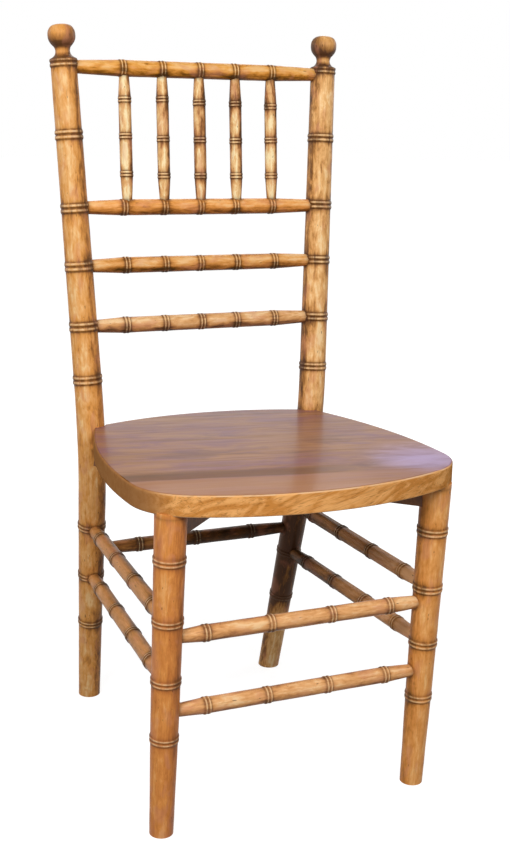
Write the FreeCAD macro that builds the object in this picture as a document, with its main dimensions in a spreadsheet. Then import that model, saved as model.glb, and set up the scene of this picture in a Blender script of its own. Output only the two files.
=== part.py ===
import FreeCAD, Part
import Sketcher
import math
import os
from types import SimpleNamespace

# A wooden chiavari chair: turned parts with bamboo rings, glued into each other with round
# tenons, and a flat solid seat screwed to two diagonal rails below it.
# Millimetres, +Z up, the front of the chair towards -Y. The origin is on the floor, below the
# middle of the chair.

# The driving dimensions: name, value and what it is. Heights are above the floor.
DIMENSIONS = [
    ("post_foot_x", 141.4, "back post axis at the floor, from the middle of the chair"),
    ("post_outward", 2.54, "back post leans outward, degrees"),
    ("post_knee_z", 386.6, "height where the two straight runs of a back post would meet"),
    ("post_knee_y", 145.4, "depth of the same point"),
    ("post_lean", 6.1, "back post above the bend leans back, degrees"),
    ("post_splay", 10.8, "back post below the bend runs back to its foot, degrees"),
    ("post_bend_radius", 560, "radius of the bend, on the axis"),
    ("post_foot_d", 30.2, "back post diameter at the floor"),
    ("post_ankle_d", 32.3, "back post diameter at its lowest ring"),
    ("post_bend_d", 36.2, "back post diameter through the bend"),
    ("post_crown_d", 32.6, "back post diameter at the ring under the finial"),
    ("post_hip_ring_z", 475.7, "ring just above the seat"),
    ("post_shoulder_ring_z", 784.3, "ring between the spindle rail and the top rail"),
    ("post_crown_ring_z", 871.8, "ring under the finial"),
    ("finial_neck_z", 885.5, "bottom of the finial's neck"),
    ("finial_ball_z", 904.2, "middle of the finial's ball"),
    ("finial_neck_d", 17.8, "finial neck diameter"),
    ("finial_ball_d", 34.2, "finial ball diameter"),
    ("finial_ball_round", 13.4, "radius of the ball's side in section"),
    ("finial_bell_round", 9, "radius of the hollow between the crown ring and the neck"),
    ("leg_side_inset", 34.1, "front leg axis at the floor, in from the seat's widest place"),
    ("leg_front_inset", 73.4, "front leg axis at the floor, behind the middle of the seat's front edge"),
    ("leg_inward", 0.13, "front leg leans towards the middle, degrees"),
    ("leg_forward", 1.93, "front leg leans forward, degrees"),
    ("leg_foot_d", 28.4, "front leg diameter at the floor"),
    ("leg_ankle_d", 32.4, "front leg diameter at its lowest ring"),
    ("leg_top_d", 37.2, "front leg diameter under the seat"),
    ("leg_tenon_d", 20, "round tenon of a front leg in the seat"),
    ("leg_tenon_length", 17, "how far that tenon goes into the seat"),
    ("leg_ring_z", 122.5, "lowest ring of every leg"),
    ("leg_ring_pitch", 73.4, "height from one leg ring to the next"),
    ("leg_bead_width", 6, "one of the two beads of a leg or post ring"),
    ("leg_bead_rise", 1.2, "how far that bead stands out"),
    ("top_rail_z", 867, "top rail axis"),
    ("spindle_rail_z", 694.5, "spindle rail axis"),
    ("middle_rail_z", 621.2, "middle rail axis"),
    ("lower_rail_z", 544.3, "lower rail axis"),
    ("rail_d", 20.6, "back rail diameter"),
    ("rail_end_d", 16.6, "back rail diameter at its ends and in the posts"),
    ("rail_bead_width", 4.4, "one of the two beads of a rail ring"),
    ("rail_bead_rise", 0.7, "how far that bead stands out"),
    ("spindle_pitch", 50.9, "from one spindle to the next"),
    ("rail_ring_pitch", 52.2, "between the rings of a back rail"),
    ("spindle_d", 16.2, "spindle diameter"),
    ("spindle_end_d", 12.9, "spindle diameter at its ends and in the rails"),
    ("spindle_ring_pitch", 46.8, "between the rings of a spindle"),
    ("spindle_bead_width", 4, "one of the two beads of a spindle ring"),
    ("spindle_bead_rise", 0.65, "how far that bead stands out"),
    ("front_upper_z", 249.5, "upper front stretcher axis"),
    ("front_lower_z", 157.2, "lower front stretcher axis"),
    ("side_upper_z", 268.6, "upper side stretchers, at the second ring from above"),
    ("side_lower_z", 195.3, "lower side stretchers, at the third ring"),
    ("back_stretcher_z", 234.5, "back stretcher axis"),
    ("stretcher_d", 19.2, "stretcher diameter"),
    ("stretcher_end_d", 15.5, "stretcher diameter at its ends and in the legs"),
    ("stretcher_ring_pitch", 77.6, "between the rings of a front or side stretcher"),
    ("back_ring_pitch", 84, "between the rings of the back stretcher"),
    ("stretcher_bead_width", 4.6, "one of the two beads of a stretcher ring"),
    ("stretcher_bead_rise", 0.95, "how far that bead stands out"),
    ("seat_z", 421, "height of the seat's top where the depth is zero"),
    ("seat_slope", 1.54, "the seat falls towards the back, degrees"),
    ("seat_thickness", 25, "seat board thickness"),
    ("seat_width", 406.6, "seat at its widest"),
    ("seat_wide_y", -100.4, "depth where the seat is widest"),
    ("seat_front_y", -233.4, "middle of the front edge"),
    ("seat_back_y", 172.6, "middle of the back edge"),
    ("seat_front_bow", 395, "radius of the front edge"),
    ("seat_side_bow", 650, "radius of the side edges"),
    ("seat_back_bow", 390, "radius of the back edge"),
    ("seat_corner", 78, "radius of the front corners"),
    ("seat_top_arris", 2.5, "rounding of the upper edge"),
    ("seat_bottom_arris", 1.5, "rounding of the lower edge"),
    ("cross_rail_width", 28, "diagonal rail under the seat, across"),
    ("cross_rail_height", 27, "diagonal rail under the seat, its height"),
    ("cross_tenon_d", 14, "round tenon at each end of a diagonal rail"),
    ("screw_head_d", 8, "seat screw head"),
    ("screw_shank_d", 4, "seat screw shank"),
    ("screw_length", 38, "seat screw"),
    ("screw_head_height", 3, "countersunk head of a seat screw"),
    ("screw_tip_length", 4, "tapered end of a seat screw"),
    ("screw_tip_d", 1, "blunt point of a seat screw"),
    ("screw_spacing", 190, "between the two seat screws of a diagonal rail"),
    ("glue_gap", 0.1, "glue line all round a tenon, and where wood is fitted to wood"),
    ("hole_end_gap", 1, "free depth beyond a leg tenon or a screw in the seat"),
    ("socket_stop", 2, "bottom of a socket, from the axis of the piece it is bored in"),
    ("tenon_stop", 2.8, "end of a tenon, from that axis"),
]

SPINDLE_COUNT = 5
RAIL_RINGS = 5
STRETCHER_RINGS = 4
BACK_RINGS = 3
SPINDLE_RINGS = 3
FRONT_LEG_RINGS = 4
POST_LEG_RINGS = 3
SIDES = (("left", -1), ("right", 1))

# Spare material that a flat cut takes off, and how far a cutter starts outside the wood.
SPARE = 8
UP = FreeCAD.Vector(0, 0, 1)

doc = FreeCAD.newDocument("ChiavariChair")
sheet = doc.addObject("Spreadsheet::Sheet", "Dims")
for row, (alias, value, note) in enumerate(DIMENSIONS, start=1):
    sheet.set(f"A{row}", note)
    sheet.set(f"B{row}", str(value))
    sheet.setAlias(f"B{row}", alias)
doc.recompute()


class Size:
    """A size as a number, and as the sheet expression that gives the same number."""

    def __init__(self, number, text):
        self.number = number
        self.text = text

    def __add__(self, other):
        other = as_size(other)
        return Size(self.number + other.number, f"({self.text} + {other.text})")

    def __sub__(self, other):
        other = as_size(other)
        return Size(self.number - other.number, f"({self.text} - {other.text})")

    def __mul__(self, other):
        other = as_size(other)
        return Size(self.number * other.number, f"({self.text} * {other.text})")

    def __truediv__(self, other):
        other = as_size(other)
        return Size(self.number / other.number, f"({self.text} / {other.text})")


def as_size(value):
    if isinstance(value, Size):
        return value
    return Size(float(value), str(value))


def root(size):
    return Size(math.sqrt(size.number), f"sqrt({size.text})")


def cosine(size):
    return Size(math.cos(math.radians(size.number)), f"cos({size.text})")


def tangent(size):
    return Size(math.tan(math.radians(size.number)), f"tan({size.text})")


names = [alias for alias, value, note in DIMENSIONS]
d = SimpleNamespace(**{alias: Size(float(sheet.get(alias)), "Dims." + alias) for alias in names})


def bind(thing, **sizes):
    """Tie properties of an object to the sheet."""
    for key, size in sizes.items():
        thing.setExpression(key, as_size(size).text)


def unit(vector):
    return FreeCAD.Vector(vector).normalize()


def along(direction):
    """Rotation that turns +Z to a direction."""
    return FreeCAD.Rotation(UP, direction)


class Profile:
    """Half the outline of a turned piece: radius against height along its axis."""

    def __init__(self, radius):
        zero = as_size(0)
        self.points = [(zero, zero), (radius, zero)]
        self.bends = [None]

    def line(self, radius, height):
        self.points.append((radius, height))
        self.bends.append(None)

    def arc(self, radius, height, bend, bulges):
        self.points.append((radius, height))
        self.bends.append((bend, bulges))

    def ring(self, centre, radius, width, rise):
        """Two beads side by side, with the groove between them down to the wood."""
        bead = (width * width / 4 + rise * rise) / (rise * 2)
        self.line(radius, centre - width)
        self.arc(radius, centre, bead, True)
        self.arc(radius, centre + width, bead, True)

    def close(self):
        self.line(as_size(0), self.points[-1][1])


def arc_between(start, end, radius, bulges):
    """Arc of a circle from start up to end, bulging away from the turning axis or towards it."""
    chord = end - start
    middle = (start + end) * 0.5
    outward = FreeCAD.Vector(chord.y, -chord.x, 0).normalize()
    reach = math.sqrt(radius ** 2 - (chord.Length / 2) ** 2)
    centre = middle - outward * reach if bulges else middle + outward * reach
    first, last = (start, end) if bulges else (end, start)
    circle = Part.Circle(centre, UP, radius)
    angles = [math.atan2(p.y - centre.y, p.x - centre.x) for p in (first, last)]
    return Part.ArcOfCircle(circle, angles[0], angles[1])


def origin_plane(body, role):
    return next(item for item in body.Origin.OriginFeatures if item.Role == role)


def new_sketch(body, name, role):
    sketch = body.newObject("Sketcher::SketchObject", name)
    sketch.AttachmentSupport = [(origin_plane(body, role), "")]
    sketch.MapMode = "FlatFace"
    return sketch


def draw_profile(sketch, profile):
    """Draw a turning's half outline, with each corner placed by the sheet."""
    flat = [FreeCAD.Vector(radius.number, height.number, 0) for radius, height in profile.points]
    bends = profile.bends + [None]
    shapes = []
    starts = []
    for index, bend in enumerate(bends):
        here = flat[index]
        there = flat[(index + 1) % len(flat)]
        if bend is None:
            shapes.append(Part.LineSegment(here, there))
            starts.append(1)
        else:
            shapes.append(arc_between(here, there, bend[0].number, bend[1]))
            starts.append(1 if bend[1] else 2)
    sketch.addGeometry(shapes, False)
    rules = []
    texts = []
    for index, (radius, height) in enumerate(profile.points):
        before = index - 1 if index else len(shapes) - 1
        rules.append(Sketcher.Constraint("Coincident", before, 3 - starts[before], index, starts[index]))
        texts.append(None)
        for kind, size, axis in (("DistanceX", radius, -2), ("DistanceY", height, -1)):
            if size.number == 0:
                rules.append(Sketcher.Constraint("PointOnObject", index, starts[index], axis))
                texts.append(None)
            else:
                rules.append(Sketcher.Constraint(kind, -1, 1, index, starts[index], size.number))
                texts.append(size.text)
        if bends[index]:
            rules.append(Sketcher.Constraint("Radius", index, bends[index][0].number))
            texts.append(bends[index][0].text)
    sketch.addConstraint(rules)
    for index, text in enumerate(texts):
        if text:
            sketch.setExpression(f"Constraints[{index}]", text)


def turned_body(name, profile, base, direction):
    """A piece turned on a lathe, standing at base with its axis along direction."""
    profile.close()
    body = doc.addObject("PartDesign::Body", name)
    sketch = new_sketch(body, name + "_outline", "XZ_Plane")
    draw_profile(sketch, profile)
    turning = body.newObject("PartDesign::Revolution", name + "_turning")
    turning.Profile = sketch
    turning.ReferenceAxis = (sketch, ["V_Axis"])
    turning.Angle = 360
    body.Placement = FreeCAD.Placement(base, along(direction))
    return body


def cylinder(name, radius, height, base, direction):
    rod = doc.addObject("Part::Cylinder", name)
    bind(rod, Radius=radius, Height=height)
    rod.Placement = FreeCAD.Placement(base, along(direction))
    return rod


def fused(name, pieces):
    fusion = doc.addObject("Part::MultiFuse", name)
    fusion.Shapes = pieces
    fusion.Refine = True
    return fusion


def cut(name, base, tools):
    group = doc.addObject("Part::Compound", name + "_cutters")
    group.Links = tools
    result = doc.addObject("Part::Cut", name)
    result.Base = base
    result.Tool = group
    return result


nodes = {}
cutters = {}


def add_node(name, thing):
    thing.Label = name
    nodes[name] = thing


def cutter(carrier, tool):
    cutters.setdefault(carrier, []).append(tool)


# The axes that everything is fitted to.

def post_x(side, z):
    """Distance of a back post's axis from the middle, at a height."""
    return (d.post_foot_x + z * tangent(d.post_outward)) * side


def post_y(z):
    """Depth of a back post's axis on its two straight runs."""
    if z.number > d.post_knee_z.number:
        return d.post_knee_y + (z - d.post_knee_z) / cosine(d.post_outward) * tangent(d.post_lean)
    return d.post_knee_y + (d.post_knee_z - z) / cosine(d.post_outward) * tangent(d.post_splay)


def post_point(side, z):
    return (post_x(side, z), post_y(z), z)


def leg_point(side, z):
    """A front leg's axis at a height. It stands a set distance in from the seat's edges."""
    x = (d.seat_width / 2 - d.leg_side_inset - z * tangent(d.leg_inward)) * side
    y = d.seat_front_y + d.leg_front_inset - z * tangent(d.leg_forward)
    return (x, y, z)


def vector(point):
    return FreeCAD.Vector(*[as_size(item).number for item in point])


def distance(first, second):
    squares = [(b - a) * (b - a) for a, b in zip(first, second)]
    return root(squares[0] + squares[1] + squares[2])


def taper(bottom, top, low, high, place):
    """Radius on a straight taper between two heights."""
    return bottom + (top - bottom) * ((place - low) / (high - low))


# The seat's own frame: its top is the plane at zero, and it falls towards the back.
seat_frame = FreeCAD.Placement(
    FreeCAD.Vector(0, 0, d.seat_z.number),
    FreeCAD.Rotation(FreeCAD.Vector(1, 0, 0), -d.seat_slope.number),
)
seat_normal = seat_frame.Rotation.multVec(UP)


def seat_drop(point, direction, depth):
    """Where a line meets the plane that lies at a depth below the seat's top."""
    target = seat_frame.multVec(FreeCAD.Vector(0, 0, -depth))
    travel = seat_normal.dot(target - point) / seat_normal.dot(direction)
    return point + direction * travel


# Back posts. Each is one bent piece: a turned lower run, a round bend and a turned upper run
# with the finial on its end.

half_bend = math.radians((d.post_lean.number + d.post_splay.number) / 2)
bend_tangent = d.post_bend_radius * tangent((d.post_lean + d.post_splay) / 2)


def post_directions(side):
    """Directions of the lower run and the upper run, both upward."""
    outward = math.radians(d.post_outward.number)
    rise = FreeCAD.Vector(side * math.sin(outward), 0, math.cos(outward))
    back = FreeCAD.Vector(0, 1, 0)
    splay = math.radians(d.post_splay.number)
    lean = math.radians(d.post_lean.number)
    lower = rise * math.cos(splay) - back * math.sin(splay)
    upper = rise * math.cos(lean) + back * math.sin(lean)
    return lower, upper


def post_knee(side):
    return vector((post_x(side, d.post_knee_z), d.post_knee_y, d.post_knee_z))


def post_bend_axis(side, depth):
    """A point of the bent axis at a depth below the seat's top, and the direction there."""
    lower, upper = post_directions(side)
    knee = post_knee(side)
    inward = unit(upper - lower)
    centre = knee + inward * (d.post_bend_radius.number / math.cos(half_bend))
    across = unit(upper.cross(lower))
    target = seat_frame.multVec(FreeCAD.Vector(0, 0, -depth))
    start = seat_normal.dot(centre - target)
    lift = unit(inward.cross(across))
    if lift.z < 0:
        lift = lift * -1
    # On the circle, centre - inward * R * cos(a) + lift * R * sin(a) lies in the plane.
    radius = d.post_bend_radius.number
    level = seat_normal.dot(inward) * radius
    climb = seat_normal.dot(lift) * radius
    angle = math.atan2(climb, level)
    a = math.acos(start / math.hypot(level, climb)) - angle
    point = centre - inward * (radius * math.cos(a)) + lift * (radius * math.sin(a))
    direction = inward * math.sin(a) + lift * math.cos(a)
    return point, unit(direction)


def lower_run_profile():
    """From below the floor up to the bend."""
    slant = cosine(d.post_outward) * cosine(d.post_splay)
    length = d.post_knee_z / slant - bend_tangent + SPARE
    low = d.leg_ring_z / slant + SPARE
    foot = d.post_foot_d / 2
    ankle = d.post_ankle_d / 2
    bend = d.post_bend_d / 2
    profile = Profile(foot)
    for index in range(POST_LEG_RINGS):
        place = (d.leg_ring_z + d.leg_ring_pitch * index) / slant + SPARE
        radius = taper(ankle, bend, low, length, place)
        profile.ring(place, radius, d.leg_bead_width, d.leg_bead_rise)
    profile.line(bend, length)
    return profile


def upper_run_profile():
    """From the bend up to the top of the finial."""
    slant = cosine(d.post_outward) * cosine(d.post_lean)

    def height(z):
        return (z - d.post_knee_z) / slant - bend_tangent

    bend = d.post_bend_d / 2
    crown = d.post_crown_d / 2
    top = height(d.post_crown_ring_z)
    profile = Profile(bend)
    ring_heights = [
        d.post_hip_ring_z,
        d.lower_rail_z,
        d.middle_rail_z,
        d.spindle_rail_z,
        d.post_shoulder_ring_z,
        d.post_crown_ring_z,
    ]
    for index, z in enumerate(ring_heights):
        place = height(z)
        radius = bend + (crown - bend) * (place / top)
        profile.ring(place, radius, d.leg_bead_width, d.leg_bead_rise)
    neck = d.finial_neck_d / 2
    core = d.finial_ball_d / 2 - d.finial_ball_round
    ball = height(d.finial_ball_z)
    drop = root(d.finial_ball_round * d.finial_ball_round - (neck - core) * (neck - core))
    profile.arc(neck, height(d.finial_neck_z), d.finial_bell_round, False)
    profile.line(neck, ball - drop)
    profile.arc(core, ball + d.finial_ball_round, d.finial_ball_round, True)
    return profile


def post_bend(name, side):
    """The round bend between the two runs, a sector of a torus."""
    lower, upper = post_directions(side)
    inward = unit(upper - lower)
    knee = post_knee(side)
    centre = knee + inward * (d.post_bend_radius.number / math.cos(half_bend))
    start = knee - lower * bend_tangent.number - centre
    bend = doc.addObject("Part::Torus", name)
    bind(
        bend,
        Radius1=d.post_bend_radius,
        Radius2=d.post_bend_d / 2,
        Angle3=d.post_lean + d.post_splay,
    )
    first = unit(start)
    second = lower
    axis = first.cross(second)
    turn = FreeCAD.Rotation(first, second, axis, "ZXY")
    bend.Placement = FreeCAD.Placement(centre, turn)
    return bend


def make_post(name, side):
    lower, upper = post_directions(side)
    knee = post_knee(side)
    foot = knee - lower * (d.post_knee_z.number / UP.dot(lower))
    lower_run = turned_body(name + "_lower_run", lower_run_profile(), foot - lower * SPARE, lower)
    bend = post_bend(name + "_bend", side)
    start = knee + upper * bend_tangent.number
    upper_run = turned_body(name + "_upper_run", upper_run_profile(), start, upper)
    return fused(name + "_bent", [lower_run, bend, upper_run])


# Front legs, turned in one piece with the tenon that goes up into the seat.

def leg_direction(side):
    top = vector(leg_point(side, d.seat_z))
    foot = vector(leg_point(side, as_size(0)))
    return unit(top - foot)


def leg_profile():
    slant = cosine(d.leg_forward) * cosine(d.leg_inward)
    length = d.seat_z / slant + SPARE
    low = d.leg_ring_z / slant + SPARE
    ankle = d.leg_ankle_d / 2
    top = d.leg_top_d / 2
    profile = Profile(d.leg_foot_d / 2)
    for index in range(FRONT_LEG_RINGS):
        place = (d.leg_ring_z + d.leg_ring_pitch * index) / slant + SPARE
        radius = taper(ankle, top, low, length, place)
        profile.ring(place, radius, d.leg_bead_width, d.leg_bead_rise)
    profile.line(top, length)
    return profile


def block(name, frame, length, width, height, corner):
    """A box with its lowest corner at a place in a frame."""
    box = doc.addObject("Part::Box", name)
    bind(box, Length=length, Width=width, Height=height)
    box.Placement = frame.multiply(FreeCAD.Placement(corner, FreeCAD.Rotation()))
    return box


def make_front_leg(name, side):
    foot = vector(leg_point(side, as_size(0)))
    direction = leg_direction(side)
    turned = turned_body(name + "_turned", leg_profile(), foot - direction * SPARE, direction)
    shoulder = seat_drop(foot, direction, d.seat_thickness.number)
    local = seat_frame.inverse().multVec(shoulder)
    spread = d.leg_top_d * 2
    corner = FreeCAD.Vector(local.x - d.leg_top_d.number, local.y - d.leg_top_d.number, local.z)
    seat_room = block(name + "_seat_room", seat_frame, spread, spread, d.seat_thickness * 3, corner)
    trimmed = cut(name + "_trimmed", turned, [seat_room])
    root_depth = d.leg_tenon_length
    tenon = cylinder(
        name + "_tenon",
        d.leg_tenon_d / 2,
        d.leg_tenon_length + root_depth,
        shoulder - direction * root_depth.number,
        direction,
    )
    cutter("seat", cylinder(
        name + "_seat_bore",
        d.leg_tenon_d / 2 + d.glue_gap,
        d.leg_tenon_length + SPARE + d.hole_end_gap,
        shoulder - direction * SPARE,
        direction,
    ))
    return fused(name + "_with_tenon", [trimmed, tenon])


# Rods: rails, spindles and stretchers. Each runs from one axis to another, and its ends are
# glued into round sockets.

def make_rod(name, first, second, thickness, end, reaches, beads, rings, pitch, carriers):
    """A turned rod with evenly spaced rings, centred between the two axes that it joins."""
    span = distance(first, second)
    start = vector(first)
    direction = unit(vector(second) - start)
    width, rise = beads
    radius = thickness / 2
    end_radius = end / 2
    middle = span / 2 - d.tenon_stop
    profile = Profile(end_radius)
    profile.line(end_radius, reaches[0] - d.tenon_stop)
    for index in range(rings):
        place = middle + pitch * (index - (rings - 1) / 2)
        profile.ring(place, radius, width, rise)
    length = span - d.tenon_stop * 2
    profile.line(end_radius, span - reaches[1] - d.tenon_stop)
    profile.line(end_radius, length)
    body = turned_body(name + "_turned", profile, start + direction * d.tenon_stop.number, direction)
    ends = ((start, direction), (vector(second), direction * -1))
    for carrier, (point, inward), reach in zip(carriers, ends, reaches):
        cutter(carrier, cylinder(
            f"{name}_socket_in_{carrier}",
            end_radius + d.glue_gap,
            reach - d.socket_stop + SPARE,
            point + inward * d.socket_stop.number,
            inward,
        ))
    return body


leg_beads = (d.leg_bead_width, d.leg_bead_rise)
rail_beads = (d.rail_bead_width, d.rail_bead_rise)
spindle_beads = (d.spindle_bead_width, d.spindle_bead_rise)
stretcher_beads = (d.stretcher_bead_width, d.stretcher_bead_rise)
post_reach = d.post_bend_d / 2 + d.leg_bead_rise
leg_reach = d.leg_top_d / 2 + d.leg_bead_rise
rail_reach = d.rail_d / 2 + d.rail_bead_rise
rods = {}

RAILS = (
    ("top_rail", d.top_rail_z),
    ("spindle_rail", d.spindle_rail_z),
    ("middle_rail", d.middle_rail_z),
    ("lower_rail", d.lower_rail_z),
)
for name, z in RAILS:
    rods[name] = make_rod(
        name,
        post_point(-1, z),
        post_point(1, z),
        d.rail_d,
        d.rail_end_d,
        (post_reach, post_reach),
        rail_beads,
        RAIL_RINGS,
        d.rail_ring_pitch,
        ("back_post_left", "back_post_right"),
    )

for index in range(SPINDLE_COUNT):
    x = d.spindle_pitch * (index - (SPINDLE_COUNT - 1) / 2)
    name = f"spindle_{index + 1}"
    rods[name] = make_rod(
        name,
        (x, post_y(d.spindle_rail_z), d.spindle_rail_z),
        (x, post_y(d.top_rail_z), d.top_rail_z),
        d.spindle_d,
        d.spindle_end_d,
        (rail_reach, rail_reach),
        spindle_beads,
        SPINDLE_RINGS,
        d.spindle_ring_pitch,
        ("spindle_rail", "top_rail"),
    )

for level, z in (("upper", d.front_upper_z), ("lower", d.front_lower_z)):
    name = "front_stretcher_" + level
    rods[name] = make_rod(
        name,
        leg_point(-1, z),
        leg_point(1, z),
        d.stretcher_d,
        d.stretcher_end_d,
        (leg_reach, leg_reach),
        stretcher_beads,
        STRETCHER_RINGS,
        d.stretcher_ring_pitch,
        ("front_leg_left", "front_leg_right"),
    )

for word, side in SIDES:
    for level, z in (("upper", d.side_upper_z), ("lower", d.side_lower_z)):
        name = f"side_stretcher_{word}_{level}"
        rods[name] = make_rod(
            name,
            leg_point(side, z),
            post_point(side, z),
            d.stretcher_d,
            d.stretcher_end_d,
            (leg_reach, post_reach),
            stretcher_beads,
            STRETCHER_RINGS,
            d.stretcher_ring_pitch,
            ("front_leg_" + word, "back_post_" + word),
        )

rods["back_stretcher"] = make_rod(
    "back_stretcher",
    post_point(-1, d.back_stretcher_z),
    post_point(1, d.back_stretcher_z),
    d.stretcher_d,
    d.stretcher_end_d,
    (post_reach, post_reach),
    stretcher_beads,
    BACK_RINGS,
    d.back_ring_pitch,
    ("back_post_left", "back_post_right"),
)


# The seat: one flat board with bowed edges, drawn on its top plane and thick downwards.

def circles_meet(first, first_radius, second, second_radius):
    """The crossing of two circles that lies further to the front."""
    gap = second - first
    along_gap = (first_radius ** 2 - second_radius ** 2 + gap.Length ** 2) / (2 * gap.Length)
    aside = math.sqrt(first_radius ** 2 - along_gap ** 2)
    step = unit(gap)
    normal = FreeCAD.Vector(-step.y, step.x, 0)
    options = [first + step * along_gap + normal * (aside * sign) for sign in (-1, 1)]
    return min(options, key=lambda point: point.y)


def arc_of(centre, radius, first, last):
    angles = [math.atan2(p.y - centre.y, p.x - centre.x) for p in (first, last)]
    return Part.ArcOfCircle(Part.Circle(centre, UP, radius), angles[0], angles[1])


def mirrored(point):
    return FreeCAD.Vector(-point.x, point.y, point.z)


def make_seat(name):
    bow = {key: getattr(d, "seat_" + key).number for key in ("front_bow", "side_bow", "back_bow", "corner")}
    front = FreeCAD.Vector(0, d.seat_front_y.number + bow["front_bow"], 0)
    back = FreeCAD.Vector(0, d.seat_back_y.number - bow["back_bow"], 0)
    side = FreeCAD.Vector(d.seat_width.number / 2 - bow["side_bow"], d.seat_wide_y.number, 0)
    corner = circles_meet(front, bow["front_bow"] - bow["corner"], side, bow["side_bow"] - bow["corner"])
    front_end = front + unit(corner - front) * bow["front_bow"]
    side_start = side + unit(corner - side) * bow["side_bow"]
    gap = side - back
    reach = (bow["back_bow"] ** 2 - bow["side_bow"] ** 2 + gap.Length ** 2) / (2 * gap.Length)
    aside = math.sqrt(bow["back_bow"] ** 2 - reach ** 2)
    step = unit(gap)
    normal = FreeCAD.Vector(-step.y, step.x, 0)
    ends = [back + step * reach + normal * (aside * sign) for sign in (-1, 1)]
    back_corner = max(ends, key=lambda point: point.y)

    body = doc.addObject("PartDesign::Body", name + "_board")
    sketch = new_sketch(body, name + "_outline", "XY_Plane")
    sketch.addGeometry([
        arc_of(front, bow["front_bow"], mirrored(front_end), front_end),
        arc_of(corner, bow["corner"], front_end, side_start),
        arc_of(side, bow["side_bow"], side_start, back_corner),
        arc_of(back, bow["back_bow"], back_corner, mirrored(back_corner)),
        arc_of(mirrored(side), bow["side_bow"], mirrored(back_corner), mirrored(side_start)),
        arc_of(mirrored(corner), bow["corner"], mirrored(side_start), mirrored(front_end)),
    ], False)
    rules = [Sketcher.Constraint("Coincident", 2, 2, 3, 1), Sketcher.Constraint("Coincident", 3, 2, 4, 1)]
    for first, second in ((0, 1), (1, 2), (4, 5), (5, 0)):
        rules.append(Sketcher.Constraint("Tangent", first, 2, second, 1))
    for arc in (0, 3):
        rules.append(Sketcher.Constraint("PointOnObject", arc, 3, -2))
    rules.append(Sketcher.Constraint("Symmetric", 2, 3, 4, 3, -2))
    rules.append(Sketcher.Constraint("Equal", 2, 4))
    rules.append(Sketcher.Constraint("Equal", 1, 5))
    bound = [
        (Sketcher.Constraint("Radius", 0, bow["front_bow"]), d.seat_front_bow),
        (Sketcher.Constraint("Radius", 1, bow["corner"]), d.seat_corner),
        (Sketcher.Constraint("Radius", 2, bow["side_bow"]), d.seat_side_bow),
        (Sketcher.Constraint("Radius", 3, bow["back_bow"]), d.seat_back_bow),
        (Sketcher.Constraint("DistanceY", -1, 1, 0, 3, front.y), d.seat_front_y + d.seat_front_bow),
        (Sketcher.Constraint("DistanceY", 3, 3, -1, 1, -back.y), d.seat_back_bow - d.seat_back_y),
        (Sketcher.Constraint("DistanceX", 2, 3, -1, 1, -side.x), d.seat_side_bow - d.seat_width / 2),
        (Sketcher.Constraint("DistanceY", 2, 3, -1, 1, -side.y), as_size(0) - d.seat_wide_y),
    ]
    first_bound = len(rules)
    sketch.addConstraint(rules + [rule for rule, size in bound])
    for index, (rule, size) in enumerate(bound):
        sketch.setExpression(f"Constraints[{first_bound + index}]", size.text)
    board = body.newObject("PartDesign::Pad", name + "_pad")
    board.Profile = sketch
    board.Reversed = True
    bind(board, Length=d.seat_thickness)
    doc.recompute()
    previous = board
    for word, level, arris in (
        ("top", 0, d.seat_top_arris),
        ("bottom", -d.seat_thickness.number, d.seat_bottom_arris),
    ):
        faces = previous.Shape.Faces
        flat = next(
            index for index, face in enumerate(faces, start=1)
            if abs(face.BoundBox.ZMax - level) < 1e-6 and face.BoundBox.ZLength < 1e-6
        )
        rounding = body.newObject("PartDesign::Fillet", f"{name}_{word}_arris")
        rounding.Base = (previous, [f"Face{flat}"])
        bind(rounding, Radius=arris)
        doc.recompute()
        previous = rounding
    body.Placement = seat_frame
    return body


# Diagonal rails under the seat, from each front leg to the opposite back post. They cross in
# a halved joint, and their coped ends stand against the legs.

rail_middle_depth = d.seat_thickness.number + d.cross_rail_height.number / 2


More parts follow.
